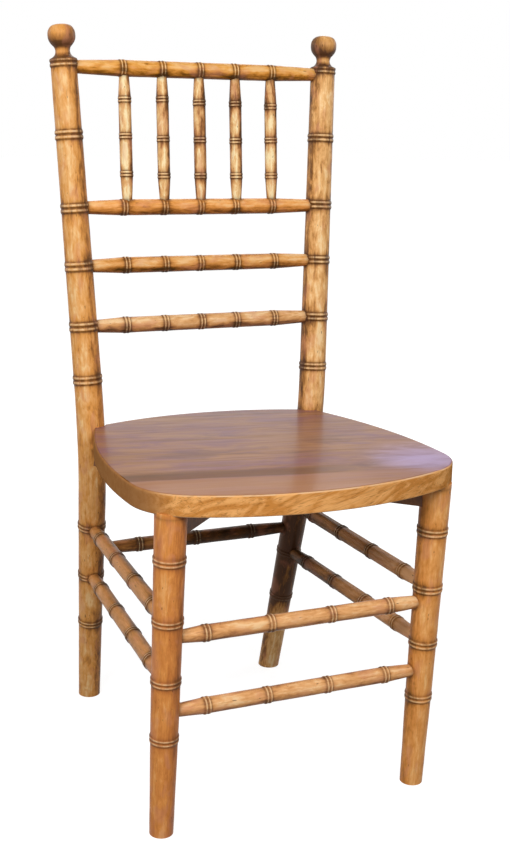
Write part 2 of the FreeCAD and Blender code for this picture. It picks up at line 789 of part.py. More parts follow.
def make_cross_rail(word, side):
    """The rail that starts at the front leg of this side. The left one lies in the lower half."""
    name = "cross_rail_" + word
    other_word = "right" if word == "left" else "left"
    leg = "front_leg_" + word
    post = "back_post_" + other_word
    foot = vector(leg_point(side, as_size(0)))
    leg_axis = leg_direction(side)
    first = seat_drop(foot, leg_axis, rail_middle_depth)
    second, post_axis = post_bend_axis(-side, rail_middle_depth)
    to_local = seat_frame.inverse()
    start = to_local.multVec(first)
    end = to_local.multVec(second)
    run = end - start
    heading = FreeCAD.Rotation(UP, math.degrees(math.atan2(run.y, run.x)))
    below = d.seat_thickness + d.cross_rail_height
    frame = seat_frame.multiply(FreeCAD.Placement(
        FreeCAD.Vector(start.x, start.y, -below.number),
        heading,
    ))
    width = d.cross_rail_width
    bar = doc.addObject("Part::Box", name + "_bar")
    bind(bar, Width=width, Height=d.cross_rail_height)
    bar.Length = run.Length
    bar.Placement = frame.multiply(FreeCAD.Placement(
        FreeCAD.Vector(0, -width.number / 2, 0),
        FreeCAD.Rotation(),
    ))
    crossing = run.Length * abs(start.x) / (abs(start.x) + abs(end.x))
    lap_half = d.cross_rail_width / 2 + d.glue_gap
    lap_floor = 0 if side > 0 else d.cross_rail_height.number / 2 - d.glue_gap.number / 2
    lap = block(
        name + "_lap",
        frame,
        lap_half * 2,
        d.cross_rail_width + SPARE,
        d.cross_rail_height / 2 + d.glue_gap / 2,
        FreeCAD.Vector(crossing - lap_half.number, -(width.number + SPARE) / 2, lap_floor),
    )
    leg_cope = cylinder(
        name + "_leg_cope",
        d.leg_top_d / 2 + d.glue_gap,
        d.cross_rail_height * 2,
        first - leg_axis * d.cross_rail_height.number,
        leg_axis,
    )
    post_cope = cylinder(
        name + "_post_cope",
        d.post_bend_d / 2 + d.glue_gap * 2,
        d.cross_rail_height * 2,
        second - post_axis * d.cross_rail_height.number,
        post_axis,
    )
    shaped = cut(name + "_shaped", bar, [lap, leg_cope, post_cope])
    direction = unit(second - first)
    pieces = [shaped]
    ends = (
        (leg, first, direction, d.leg_top_d / 2),
        (post, second, direction * -1, d.post_bend_d / 2),
    )
    for carrier, point, inward, surface in ends:
        pieces.append(cylinder(
            f"{name}_tenon_in_{carrier}",
            d.cross_tenon_d / 2,
            surface + d.cross_rail_width - d.tenon_stop,
            point + inward * d.tenon_stop.number,
            inward,
        ))
        cutter(carrier, cylinder(
            f"{name}_socket_in_{carrier}",
            d.cross_tenon_d / 2 + d.glue_gap,
            surface - d.socket_stop + SPARE,
            point + inward * d.socket_stop.number,
            inward,
        ))
    rail = fused(name + "_with_tenons", pieces)
    return rail, frame, crossing


def screw_profile():
    shank = d.screw_shank_d / 2
    profile = Profile(d.screw_head_d / 2)
    profile.line(shank, d.screw_head_height)
    profile.line(shank, d.screw_length - d.screw_tip_length)
    profile.line(d.screw_tip_d / 2, d.screw_length)
    return profile


def make_screw(name, carrier, frame, place):
    """A countersunk wood screw, up through a diagonal rail into the seat, with its holes."""
    base = frame.multVec(FreeCAD.Vector(place, 0, 0))
    screw = turned_body(name, screw_profile(), base, seat_normal)
    cutter(carrier, cylinder(
        name + "_clearance",
        d.screw_shank_d / 2 + d.glue_gap,
        d.cross_rail_height + SPARE * 2,
        base - seat_normal * SPARE,
        seat_normal,
    ))
    sink = doc.addObject("Part::Cone", name + "_countersink")
    bind(
        sink,
        Radius1=d.screw_head_d / 2 + d.glue_gap,
        Radius2=d.screw_shank_d / 2 + d.glue_gap,
        Height=d.screw_head_height,
    )
    sink.Placement = FreeCAD.Placement(base, along(seat_normal))
    cutter(carrier, sink)
    cutter("seat", cylinder(
        name + "_pilot",
        d.screw_shank_d / 2 + d.glue_gap,
        d.screw_length - d.cross_rail_height + d.hole_end_gap,
        base + seat_normal * d.cross_rail_height.number,
        seat_normal,
    ))
    return screw


cross_rails = {}
screws = []
for word, side in SIDES:
    name = "cross_rail_" + word
    cross_rails[name], frame, crossing = make_cross_rail(word, side)
    half_spacing = d.screw_spacing.number / 2
    for number, offset in enumerate((-half_spacing, half_spacing), start=1):
        screws.append(make_screw(f"seat_screw_{word}_{number}", name, frame, crossing + offset))


# Put the pieces together and cut each one's sockets.

floor_spread = d.leg_foot_d * 3


def floor_block(name, foot):
    corner = FreeCAD.Vector(foot.x - floor_spread.number / 2, foot.y - floor_spread.number / 2, -SPARE * 3)
    return block(name + "_floor", FreeCAD.Placement(), floor_spread, floor_spread, as_size(SPARE * 3), corner)


for word, side in SIDES:
    leg = "front_leg_" + word
    cutter(leg, floor_block(leg, vector(leg_point(side, as_size(0)))))
    add_node(leg, cut(leg, make_front_leg(leg, side), cutters[leg]))
    post = "back_post_" + word
    cutter(post, floor_block(post, vector(post_point(side, as_size(0)))))
    add_node(post, cut(post, make_post(post, side), cutters[post]))
    notch_point, notch_axis = post_bend_axis(side, d.seat_thickness.number / 2)
    cutter("seat", cylinder(
        post + "_notch",
        d.post_bend_d / 2 + d.glue_gap * 2,
        d.seat_thickness * 3,
        notch_point - notch_axis * (d.seat_thickness.number * 1.5),
        notch_axis,
    ))

for name, rod in list(rods.items()) + list(cross_rails.items()):
    add_node(name, cut(name, rod, cutters[name]) if name in cutters else rod)

add_node("seat", cut("seat", make_seat("seat"), cutters["seat"]))
screw_group = doc.addObject("Part::Compound", "seat_screws")
screw_group.Links = screws
add_node("seat_screws", screw_group)

doc.recompute()

# Nothing is written unless every object is sound.
for thing in doc.Objects:
    if "Invalid" in thing.State or "Error" in thing.State:
        raise RuntimeError(f"{thing.Name} failed: {thing.State}")
for name, thing in nodes.items():
    if thing.Shape.isNull() or not thing.Shape.isValid():
        raise RuntimeError(f"{name} has no sound shape")

os.makedirs("parts", exist_ok=True)
for name, thing in sorted(nodes.items()):
    thing.Shape.exportStep(f"parts/{name}.step")
    box = thing.Shape.BoundBox
    solids = len(thing.Shape.Solids)
    print(f"{name}: {solids} solid, {thing.Shape.Volume / 1000:.1f} cm3, top {box.ZMax:.1f}")
whole = Part.makeCompound([thing.Shape for thing in nodes.values()])
box = whole.BoundBox
print(f"x {box.XMin:.1f} {box.XMax:.1f}  y {box.YMin:.1f} {box.YMax:.1f}  z {box.ZMin:.2f} {box.ZMax:.1f}")
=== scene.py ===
# %% [markdown]
# A chiavari chair, dressed for its portrait
#
# The construction model holds every piece of this chair at its real size: two bent back posts,
# two front legs, rails, spindles, stretchers, a seat board and the hidden rails that carry it.
# This lesson gives those pieces their looks. Nearly all of them come off a lathe, so one
# Geometry Nodes tree turns them all, and one family of wood finishes covers them.

# %% Load the frame
import itertools
import math
from functools import partialmethod

import bpy
from mathutils import Matrix, Vector


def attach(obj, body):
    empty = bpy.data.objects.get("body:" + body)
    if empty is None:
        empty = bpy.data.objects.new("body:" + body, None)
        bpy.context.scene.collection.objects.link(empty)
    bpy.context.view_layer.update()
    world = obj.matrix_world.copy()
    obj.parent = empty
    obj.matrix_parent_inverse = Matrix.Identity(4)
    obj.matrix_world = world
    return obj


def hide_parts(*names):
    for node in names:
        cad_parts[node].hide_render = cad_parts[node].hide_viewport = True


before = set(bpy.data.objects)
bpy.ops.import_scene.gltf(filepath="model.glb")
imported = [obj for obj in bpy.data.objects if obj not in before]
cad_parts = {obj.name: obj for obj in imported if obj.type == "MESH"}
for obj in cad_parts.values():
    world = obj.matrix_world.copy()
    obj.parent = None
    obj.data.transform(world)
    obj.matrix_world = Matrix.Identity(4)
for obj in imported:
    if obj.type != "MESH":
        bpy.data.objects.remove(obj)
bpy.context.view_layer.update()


def rounded(values):
    return [round(value, 4) for value in values]


# %% [markdown]
# Sizes of the frame
#
# A chair maker keeps one stick with all the heights marked on it. These are the marks of that
# stick, in metres, together with the slants of the posts and legs. Everything below is placed
# from them, so a ring on a post and the rail that enters it share one number.

# %% Sizes of the posts and legs
mm = 0.001
UP, BACK = Vector((0, 0, 1)), Vector((0, 1, 0))

POST_FOOT_X = 141.4 * mm
POST_OUTWARD = math.radians(2.54)
POST_KNEE_Z = 386.6 * mm
POST_KNEE_Y = 145.4 * mm
POST_LEAN = math.radians(6.1)
POST_SPLAY = math.radians(10.8)
POST_BEND_RADIUS = 560 * mm
POST_RADII = {
    0: 15.1 * mm,
    122.5 * mm: 16.15 * mm,
    305 * mm: 18.1 * mm,
    470 * mm: 18.1 * mm,
    871.8 * mm: 16.3 * mm,
}

LEG_FOOT = Vector((169.2 * mm, -160 * mm, 0))
LEG_INWARD = math.radians(0.13)
LEG_FORWARD = math.radians(1.93)
LEG_RADII = {0: 14.2 * mm, 122.5 * mm: 16.2 * mm, 421 * mm: 18.6 * mm}

LOWEST_RING_Z = 122.5 * mm
LEG_RING_PITCH = 73.4 * mm
LEG_RING_Z = [LOWEST_RING_Z + LEG_RING_PITCH * step for step in range(4)]
TOP_RAIL_Z = 867 * mm
SPINDLE_RAIL_Z = 694.5 * mm
MIDDLE_RAIL_Z = 621.2 * mm
LOWER_RAIL_Z = 544.3 * mm
POST_RING_Z = LEG_RING_Z[:3] + [475.7 * mm, LOWER_RAIL_Z, MIDDLE_RAIL_Z, SPINDLE_RAIL_Z]
POST_RING_Z += [784.3 * mm, 871.8 * mm]

FRONT_STRETCHER_Z = {"upper": 249.5 * mm, "lower": 157.2 * mm}
SIDE_STRETCHER_Z = {"upper": 268.6 * mm, "lower": 195.3 * mm}
BACK_STRETCHER_Z = 234.5 * mm
SIDES = {"left": -1, "right": 1}


def post_point(side, z):
    """Where the axis of a back post's straight runs is, at a height."""
    rise = abs(z - POST_KNEE_Z) / math.cos(POST_OUTWARD)
    slant = POST_LEAN if z > POST_KNEE_Z else POST_SPLAY
    x = POST_FOOT_X + z * math.tan(POST_OUTWARD)
    return Vector((side * x, POST_KNEE_Y + rise * math.tan(slant), z))


def leg_point(side, z):
    """Where the axis of a front leg is, at a height."""
    x = LEG_FOOT.x - z * math.tan(LEG_INWARD)
    return Vector((side * x, LEG_FOOT.y - z * math.tan(LEG_FORWARD), z))


def tapered(marks, place):
    """The value at a place, straight between the marks of a dictionary {place: value}."""
    places = sorted(marks)
    place = min(max(place, places[0]), places[-1])
    for low, high in zip(places, places[1:]):
        if place <= high:
            return marks[low] + (marks[high] - marks[low]) * (place - low) / (high - low)


print("post foot at", rounded(post_point(1, 0)), "leg foot at", rounded(leg_point(1, 0)))

# %% [markdown]
# The seat's plane
#
# The seat is one flat board that falls one and a half degrees towards the back. A matrix takes
# points from the board's own plane, where the top is at zero, into the chair.

# %% The seat's plane
SEAT_Z = 421 * mm
SEAT_SLOPE = math.radians(1.54)
SEAT_THICKNESS = 25 * mm
seat_frame = Matrix.Translation((0, 0, SEAT_Z)) @ Matrix.Rotation(-SEAT_SLOPE, 4, "X")
near_front = seat_frame @ Vector((0, -0.2, 0))
print("the seat's top is", round(near_front.z, 4), "m high near its front edge")

# %% [markdown]
# Small helpers for node trees
#
# A node tree is easier to read when each node is one short call. `add` makes a node, and `feed`
# gives an input a plain value or joins it to another node. A `Field` is a node's output that
# can be added and multiplied like a number: `(cloud - 0.5) * 1.6` makes two Math nodes.

# %% Helpers for node trees
NUMBERS_FROM_VECTORS = ("DOT_PRODUCT", "LENGTH", "DISTANCE")


class Field:
    """A node's output. Arithmetic with fields makes the nodes that work it out."""

    def __init__(self, node, output=0):
        self.socket = node.outputs[output]
        self.tree = node.id_data
        self.is_vector = self.socket.type == "VECTOR"

    def calc(self, operation, *others):
        """One Math node that starts from this field, or Vector Math if this is a vector."""
        kind = "VectorMath" if self.is_vector else "Math"
        gives_vector = self.is_vector and operation not in NUMBERS_FROM_VECTORS
        output = "Vector" if gives_vector else "Value"
        inputs = dict(enumerate((self, *others)))
        return shade(self.tree, kind, inputs, output, operation=operation)

    __add__ = partialmethod(calc, "ADD")
    __sub__ = partialmethod(calc, "SUBTRACT")
    __mul__ = partialmethod(calc, "MULTIPLY")
    __truediv__ = partialmethod(calc, "DIVIDE")
    __abs__ = partialmethod(calc, "ABSOLUTE")
    at_least = partialmethod(calc, "MAXIMUM")
    unit = partialmethod(calc, "NORMALIZE")

    def __rsub__(self, other):
        return self.calc("MULTIPLY_ADD", -1, other)

    def scaled(self, factor):
        """A vector times a number."""
        return shade(self.tree, "VectorMath", {0: self, "Scale": factor}, operation="SCALE")

    def part(self, letter):
        """The X, Y or Z of a vector."""
        return shade(self.tree, "SeparateXYZ", {0: self}, letter)


def feed(socket, value):
    """Give an input a plain value, or join it to a field."""
    if isinstance(value, Field):
        value.tree.links.new(value.socket, socket)
    else:
        socket.default_value = value


def add(tree, kind, inputs=None, **settings):
    """Make a node, set its properties and feed its inputs, which are given by name or number."""
    node = tree.nodes.new(kind)
    for key, value in settings.items():
        setattr(node, key, value)
    for key, value in (inputs or {}).items():
        feed(node.inputs[key], value)
    return node


def shade(tree, kind, inputs=None, output=0, **settings):
    """One output of a new node of a kind that both sorts of tree have, or shaders alone."""
    return Field(add(tree, "ShaderNode" + kind, inputs, **settings), output)


def combine(tree, x, y, z):
    """A vector from three numbers."""
    return shade(tree, "CombineXYZ", {0: x, 1: y, 2: z})


def smooth_step(field, low, high, at_low=0.0, at_high=1.0):
    """A soft change from one value to another while the field goes from low to high."""
    inputs = {0: field, 1: low, 2: high, 3: at_low, 4: at_high}
    return shade(field.tree, "MapRange", inputs, interpolation_type="SMOOTHSTEP")


print("helpers are ready")

# %% [markdown]
# The lathe
#
# Every stick of this chair is bamboo turned: a plain rod with double beads cut at intervals, so
# that it looks like a cane with its knots. The beads repeat along a path, which is what Geometry
# Nodes do well. The tree takes a mesh that holds an edge path with a radius at each point, and
# loose points with a mark: 1 where a double bead sits, 2 where another stick is glued on, and 3
# where a crease runs round the stick. A bead can be smaller than the others of its stick, which
# its size says. The tree walks along the path, finds the nearest bead, raises the radius there,
# and sweeps a circle along the path.
#
# It also writes what the finish needs, as attributes. `stock` is each point's place in the
# straight square stock that the piece was turned from, so that the grain follows a bent post.
# `glaze` is 1 where dark stain collects and below zero on the pale crests, which are partly bare
# wood and partly painted highlight. `spread` is the distance from the nearest bead; another
# attribute is 1 where the stick faces its light side, which the finish turns into painted shade
# on the flanks; and `tone` moves a place along the rubbing, and on some sticks it holds the seat's
# painted shadow. The path brings its own tone.

# %% The lathe tree: its inputs
LATHE_INPUTS = {
    "Geometry": "Geometry",
    "Bead Width": "Float",
    "Bead Rise": "Float",
    "Joint Radius": "Float",
    "Foot Length": "Float",
    "Step": "Float",
    "Rubbed Side": "Vector",
    "Sides": "Int",
    "Seed": "Int",
    "Finish": "Material",
}
lathe = bpy.data.node_groups.new("bamboo_lathe", "GeometryNodeTree")
new_socket = lathe.interface.new_socket
for name, kind in LATHE_INPUTS.items():
    new_socket(name, in_out="INPUT", socket_type="NodeSocket" + kind)
new_socket("Geometry", in_out="OUTPUT", socket_type="NodeSocketGeometry")
entry = lathe.nodes.new("NodeGroupInput")
given = {name: Field(entry, name) for name in LATHE_INPUTS}
print("lathe inputs:", list(LATHE_INPUTS))

# %% [markdown]
# Inside the lathe: the path and its marks
#
# The path is cut into short even steps, since a bead five millimetres wide needs some ten of
# them to look round. The distance to the nearest mark is measured along the path: it is a dot
# product of the way to the mark with the path's own direction.

# %% The lathe tree: path and marks
def geo(kind, inputs=None, output=0, **settings):
    """One output of a new Geometry node in the lathe."""
    return Field(add(lathe, "GeometryNode" + kind, inputs, **settings), output)


def named(name, kind="FLOAT"):
    """What the mesh brings under a name."""
    return geo("InputNamedAttribute", {"Name": name}, data_type=kind)


def marked(mark):
    """The points that carry this mark."""
    inputs = {2: named("mark", "INT"), 3: mark}
    same = add(lathe, "FunctionNodeCompare", inputs, data_type="INT", operation="EQUAL")
    return geo("SeparateGeometry", {0: given["Geometry"], 1: Field(same)}, domain="POINT")


def nearest(points):
    """The number of the nearest of some points."""
    return geo("SampleNearest", {0: points, 1: position}, domain="POINT")


def sampled(points, field, number):
    """What a field is at the point of this number."""
    kind = "FLOAT_VECTOR" if field.is_vector else "FLOAT"
    return geo("SampleIndex", {0: points, 1: field, 2: number}, data_type=kind, domain="POINT")


def distance_along(place):
    """How far the path has gone beyond a place, before it where the number is negative."""
    return (position - place).calc("DOT_PRODUCT", tangent)


position = geo("InputPosition")
tangent = geo("InputTangent")
path = geo("MeshToCurve", {0: marked(0)})
path = geo("ResampleCurve", {"Curve": path, "Length": given["Step"]}, mode="LENGTH")

beads, creases = marked(1), marked(3)
bead_number = nearest(beads)
bead_width = given["Bead Width"] * sampled(beads, named("size"), bead_number)
from_bead = distance_along(sampled(beads, position, bead_number))
from_crease = abs(distance_along(sampled(creases, position, nearest(creases))))
print("path part of the tree:", len(lathe.nodes), "nodes")

# %% [markdown]
# Inside the lathe: the double beads
#
# Each bead is a low dome, and the groove between a pair reaches the wood. A turner works by
# eye, so each pair's height and place vary a little with the seed, and the stick between the
# beads is never quite straight.

# %% The lathe tree: beads
SLIP = 0.5 * mm
SKILL = (0.86, 1.06)
DOME_POWER = 0.8
SWAY = 0.6 * mm
SWAYS_PER_METRE = 28


def chance(number, low, high, salt):
    """A random value for a numbered thing, different for each seed."""
    inputs = {"ID": number, "Seed": given["Seed"] * 7 + salt, 2: low, 3: high}
    return Field(add(lathe, "FunctionNodeRandomValue", inputs, data_type="FLOAT"), 1)


signed = from_bead + chance(bead_number, -SLIP, SLIP, 1)
distance = abs(signed)
share = distance / bead_width
across = share * 2 - 1
dome = (1 - across * across).at_least(0).calc("POWER", DOME_POWER)
bead = dome * given["Bead Rise"] * chance(bead_number, *SKILL, 2)

sway_place = position + combine(lathe, given["Seed"], 0.37, 1.91)
inputs = {"Vector": sway_place, "Scale": SWAYS_PER_METRE, "Detail": 2}
sway = (shade(lathe, "TexNoise", inputs) - 0.5) * SWAY
radius = named("radius") + bead + sway
print("with the beads:", len(lathe.nodes), "nodes")

# %% [markdown]
# Inside the lathe: where the dark glaze lies
#
# The maker wiped a dark glaze over the chair and rubbed it off again. It covers the beads and
# runs out beside them, and fills each crease. A narrow pale line lies on the crest of each bead,
# a little above its middle where light from above falls: partly wood that the rag bared, partly
# painted highlight.

# %% The lathe tree: glaze
# The pale crests are partly worn bare and partly a painted highlight, set a little above the
# middle of each bead.
CREST_HIGHLIGHT_LEAN = 0.07
CREST_REACH = (0.08, 0.32)
RING_GLAZE_REACH = 1.1 * mm
CREASE_GLAZE_REACH = 2.2 * mm


def fading(distance, reach):
    """1 at no distance, and less and less further away."""
    return (distance / -reach).calc("EXPONENT")


def blend(factor, first, second):
    """The first number where the factor is 0, the second where it is 1."""
    return (second - first) * factor + first


crest_share = signed.calc("SIGN") * CREST_HIGHLIGHT_LEAN + 0.5
crest_wear_and_highlight = smooth_step(abs(share - crest_share), *CREST_REACH, 1, 0)
spread = (distance - bead_width).at_least(0)
beside = fading(spread, RING_GLAZE_REACH)
ring_glaze = blend(share.calc("LESS_THAN", 1), beside, 1 - crest_wear_and_highlight * 2)
ring_glaze = blend(fading(from_crease, CREASE_GLAZE_REACH), ring_glaze, 1)
print("with the glaze:", len(lathe.nodes), "nodes")

# %% [markdown]
# Inside the lathe: sweep and flat foot
#
# Values that belong to the path have to be captured before the sweep, because the sweep makes
# new points. Afterwards the foot is levelled: each ring of points near the floor slides along
# the slanting stick until the lowest ring lies flat.

# %% The lathe tree: sweep and foot
def capture(geometry, **fields):
    """Keep fields with the points of a geometry, and return it together with what was kept."""
    node = add(lathe, "GeometryNodeCaptureAttribute", {0: geometry}, domain="POINT")
    for name, field in fields.items():
        node.capture_items.new("VECTOR" if field.is_vector else "FLOAT", name)
        feed(node.inputs[name], field)
    return Field(node), {name: Field(node, name) for name in fields}


length = geo("SplineParameter", None, "Length")
path, held = capture(
    path, radius=radius, tone=named("path_tone"), length=length, ring_glaze=ring_glaze,
    spread=spread, axis=position, direction=tangent)
inputs = {"Resolution": given["Sides"], "Radius": 1}
circle, rim = capture(geo("CurvePrimitiveCircle", inputs, mode="RADIUS"), way=position)
inputs = {0: path, 1: circle, "Fill Caps": True, "Scale": held["radius"]}
sweep = geo("CurveToMesh", inputs)

low_end = smooth_step(held["axis"].part("Z"), 0, given["Foot Length"], 1, 0)
level = (held["axis"] - position).part("Z") * low_end / held["direction"].part("Z")
footed = geo("SetPosition", {0: sweep, "Offset": held["direction"].scaled(level)})
print("with the sweep:", len(lathe.nodes), "nodes")

# %% [markdown]
# Inside the lathe: attributes for the finish
#
# A joint is a small round place on the side of a stick, so its glaze goes by plain distance.
# The light side is a direction in the room, roughly towards the lamps, and its dot product with
# the way outwards from the axis is 1 where the stick faces it; the finish paints shade on the
# flanks from it.

# %% The lathe tree: attributes
JOINT_GLAZE_REACH = 4.5 * mm
STOCK_SHIFT = (0.173, 0.061, 0.119)

joints = marked(2)
from_joint = position.calc("DISTANCE", sampled(joints, position, nearest(joints)))
joint_glaze = smooth_step(from_joint - given["Joint Radius"], 0, JOINT_GLAZE_REACH, 0.95, 0)
outwards = (position - held["axis"]).unit()
shift_x, shift_y, shift_z = (given["Seed"] * shift for shift in STOCK_SHIFT)
stock_place = combine(lathe, shift_x, shift_y, held["length"] + shift_z)
WRITTEN = {
    "stock": rim["way"].scaled(held["radius"]) + stock_place,
    "glaze": blend(joint_glaze, held["ring_glaze"], 1),
    "spread": held["spread"],
    "light_facing": outwards.calc("DOT_PRODUCT", given["Rubbed Side"].unit()),
    "tone": held["tone"],
}
written = footed
for name, field in WRITTEN.items():
    kind = "FLOAT_VECTOR" if field.is_vector else "FLOAT"
    inputs = {0: written, "Name": name, "Value": field}
    written = geo("StoreNamedAttribute", inputs, data_type=kind, domain="POINT")

smoothed = geo("SetShadeSmooth", {0: written, "Shade Smooth": True})
real = geo("RealizeInstances", {0: smoothed})
finished = geo("SetMaterial", {0: real, "Material": given["Finish"]})
add(lathe, "NodeGroupOutput", {0: finished})
print("whole lathe tree:", len(lathe.nodes), "nodes")

# %% [markdown]
# Running the lathe
#
# `turn` lays out a path with its marks, puts the tree on it, sets the tree's inputs by their
# identifiers before anything is evaluated, and keeps the result as a plain mesh. The piece
# rides on the chair's one body and stands for its construction solid.

# %% Running the lathe
def new_object(name, data):
    item = bpy.data.objects.new(name, data)
    bpy.context.collection.objects.link(item)
    return item


def path_mesh(name, points, radii, tones, marks, sizes):
    """A mesh with the path as edges and marked loose points. marks is {number: points}, and
    sizes are those of the beads, which are the first marks."""
    mesh = bpy.data.meshes.new(name)
    loose = [place for places in marks.values() for place in places]
    numbers = [number for number, places in marks.items() for place in places]
    edges = [(index, index + 1) for index in range(len(points) - 1)]
    mesh.from_pydata([*points, *loose], edges, [])
    full_sizes = [1.0] * len(points) + [*sizes] + [1.0] * (len(loose) - len(sizes))
    for key, kind, values in (
        ("mark", "INT", [0] * len(points) + numbers),
        ("radius", "FLOAT", radii + [0.0] * len(loose)),
        ("path_tone", "FLOAT", tones + [0.0] * len(loose)),
        ("size", "FLOAT", full_sizes),
    ):
        mesh.attributes.new(key, kind, "POINT").data.foreach_set("value", values)
    return mesh


def keep_result(helper, name):
    """The evaluated result of an object's modifiers, as a new object with a plain mesh."""
    bpy.context.view_layer.update()
    graph = bpy.context.evaluated_depsgraph_get()
    mesh = bpy.data.meshes.new_from_object(helper.evaluated_get(graph))
    mesh.name = name
    helper.modifiers.clear()
    bpy.data.objects.remove(helper)
    return new_object(name, mesh)


seeds = itertools.count(1)


def turn(node, points, radii, tones, marks, finish, settings, sizes=()):
    """Turn one stick and let it stand for a node of the construction model."""
    name = node + "_path"
    helper = new_object(name, path_mesh(name, points, radii, tones, marks, sizes))
    modifier = helper.modifiers.new("lathe", "NODES")
    modifier.node_group = lathe
    sockets = [item for item in lathe.interface.items_tree if item.in_out == "INPUT"]
    identifiers = {socket.name: socket.identifier for socket in sockets}
    for key, value in {**settings, "Seed": next(seeds), "Finish": finish}.items():
        modifier[identifiers[key]] = value
    piece = keep_result(helper, node + "_turned")
    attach(piece, "root")
    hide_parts(node)
    print(piece.name, len(piece.data.polygons), "faces")


print("the lathe is ready")

# %% [markdown]
# Colours
#
# The chair is stained honey brown under a clear lacquer, with a film of dark glaze that was
# rubbed off again. Colours are written as they look on a screen and turned into the linear
# values that shaders work with. A rubbing is five of them, from where the film stayed thickest
# to where the rag went nearly through to the wood.

# %% Colours
def colour(text):
    """A colour written as six hexadecimal digits, as the linear values that shaders use."""
    values = [int(text[start:start + 2], 16) / 255 for start in (0, 2, 4)]
    linear = [v / 12.92 if v <= 0.04045 else ((v + 0.055) / 1.055) ** 2.4 for v in values]
    return (*linear, 1.0)


# Pale crests: partly worn bare wood, partly painted highlight.
CREST_WEAR_AND_HIGHLIGHT = colour("F2D4A4")
GLAZE = colour("52321A")
BLUSH = colour("D08A6A")
PORE = colour("4E2C16")
print("the glaze is", rounded(GLAZE))

# %% [markdown]
# Helpers for finishes
#
# Wood is longer than it is wide in every detail, so its noise is stretched: it gets a number of
# features per metre across the grain and a smaller number along it. The numbers after those say
# how fine its detail goes, how rough that is and how far it is warped. `lay_over` gets where a
# pattern begins to cover, where it covers most, and how much that is.

# %% Helpers for finishes
BUMP_DEPTH = 0.3 * mm


def mix(factor, first, second):
    """The first colour where the factor is 0, the second where it is 1."""
    inputs = {0: factor, 6: first, 7: second}
    return shade(factor.tree, "Mix", inputs, 2, data_type="RGBA")


def noise(place, across, along, detail=3.0, roughness=0.55, warp=0.0):
    """Noise with so many features per metre across the grain and along it."""
    inputs = {"Vector": place * (across, across, along), "Scale": 1}
    inputs.update({"Detail": detail, "Roughness": roughness, "Distortion": warp})
    return shade(place.tree, "TexNoise", inputs)


def lay_over(base, tint, pattern, low, high, most=1.0):
    """A colour laid over another where a pattern goes from low to high, at most so strong."""
    return mix(smooth_step(pattern, low, high, 0, most), base, tint)


def attribute(tree, name, output="Fac"):
    return shade(tree, "Attribute", None, output, attribute_name=name)


def object_place(tree):
    return shade(tree, "TexCoord", None, "Object")


def new_material(name):
    material = bpy.data.materials.new(name)
    material.use_nodes = True
    tree = material.node_tree
    return material, tree, tree.nodes["Principled BSDF"]


def fine_bump(shader, height, strength):
    inputs = {"Strength": strength, "Distance": BUMP_DEPTH, "Height": height}
    feed(shader.inputs["Normal"], shade(height.tree, "Bump", inputs))


print("helpers for finishes are ready")

# %% [markdown]
# Stained wood, glazed and rubbed
#
# The finish follows the maker's hand, with painted shade in it. A number, the bareness, says how
# far the film was rubbed off and how much painted shade lies there: it is lower on the flanks
# square to the light side and where the tone holds the seat's painted shadow, least beside a
# ring, and varies with slow clouds and streaks along the grain. It picks the colour from the five
# of a rubbing. Between the rings of a spindle the bare place is a flame, widest halfway and
# pointed at its ends. The finials, which are higher than all else on the chair, took the stain
# more evenly. Over this come small dark ticks, the dark glaze in grooves and joints, and the pale
# crests of the beads, partly bare wood and partly painted highlight.

# %% Layers of the turned wood's finish
FILM_STOPS = (0.3, 0.55, 0.8)
FLANK_SHADE_FLOOR = 0.38
RING_SHADE_REACH = 4.5 * mm
FLAME_REACH = (1 * mm, 13 * mm)
CLOUDY, BLOTCHY, STREAKY = 1.6, 1.2, 1.0
CALM_ABOVE = (878 * mm, 884 * mm)
CALM = 0.5


def film_colour(bareness_and_shade, tints):
    """The colour for a bareness and its painted shade, from the five of a rubbing."""
    ramp = add(bareness_and_shade.tree, "ShaderNodeValToRGB", {0: bareness_and_shade})
    elements = ramp.color_ramp.elements
    elements[0].color = tints[0]
    elements[1].color = tints[-1]
    for stop, tint in zip(FILM_STOPS, tints[1:-1]):
        elements.new(stop).color = tint
    return Field(ramp)


def bareness_and_shade_of(tree, place, start, aside, beside, flame, lively):
    """How far the film was rubbed off, with painted shade from the tone and on the flanks. aside,
    beside and flame say how much film stays on the flanks square to the light side, which is
    painted shade, beside the rings and round the flames, lively how much it varies."""
    # The flanks, square to the light side, keep more film and come out darker: painted shade.
    facing = abs(attribute(tree, "light_facing")).at_least(FLANK_SHADE_FLOOR)
    spread = attribute(tree, "spread")
    bare_and_shade = attribute(tree, "tone") + start - (1 - facing) * aside
    bare_and_shade = bare_and_shade - fading(spread, RING_SHADE_REACH) * beside
    bare_and_shade = bare_and_shade - smooth_step(spread, *FLAME_REACH, 1, 0) * flame
    cloud = noise(place, 95, 24, 4, 0.6, 0.8)
    blotch = noise(place, 150, 65, 4, 0.65, 0.5)
    streak = noise(place, 240, 14, 5, 0.62, 0.4)
    varied = (cloud - 0.5) * CLOUDY + (blotch - 0.5) * BLOTCHY + (streak - 0.5) * STREAKY
    up = object_place(tree).part("Z")
    return varied * smooth_step(up, *CALM_ABOVE, lively, CALM * lively) + bare_and_shade, streak


def ticks(base, place):
    """Rosy patches in the stain, and short dark pores and lines in the grain."""
    base = lay_over(base, BLUSH, noise(place, 70, 34, 2, 0.5, 0.5), 0.52, 0.7, 0.35)
    base = lay_over(base, PORE, noise(place, 1400, 45, 2, 0.5), 0.56, 0.74, 0.22)
    return lay_over(base, PORE, noise(place, 420, 110, 1, 0.4), 0.745, 0.8, 0.7)


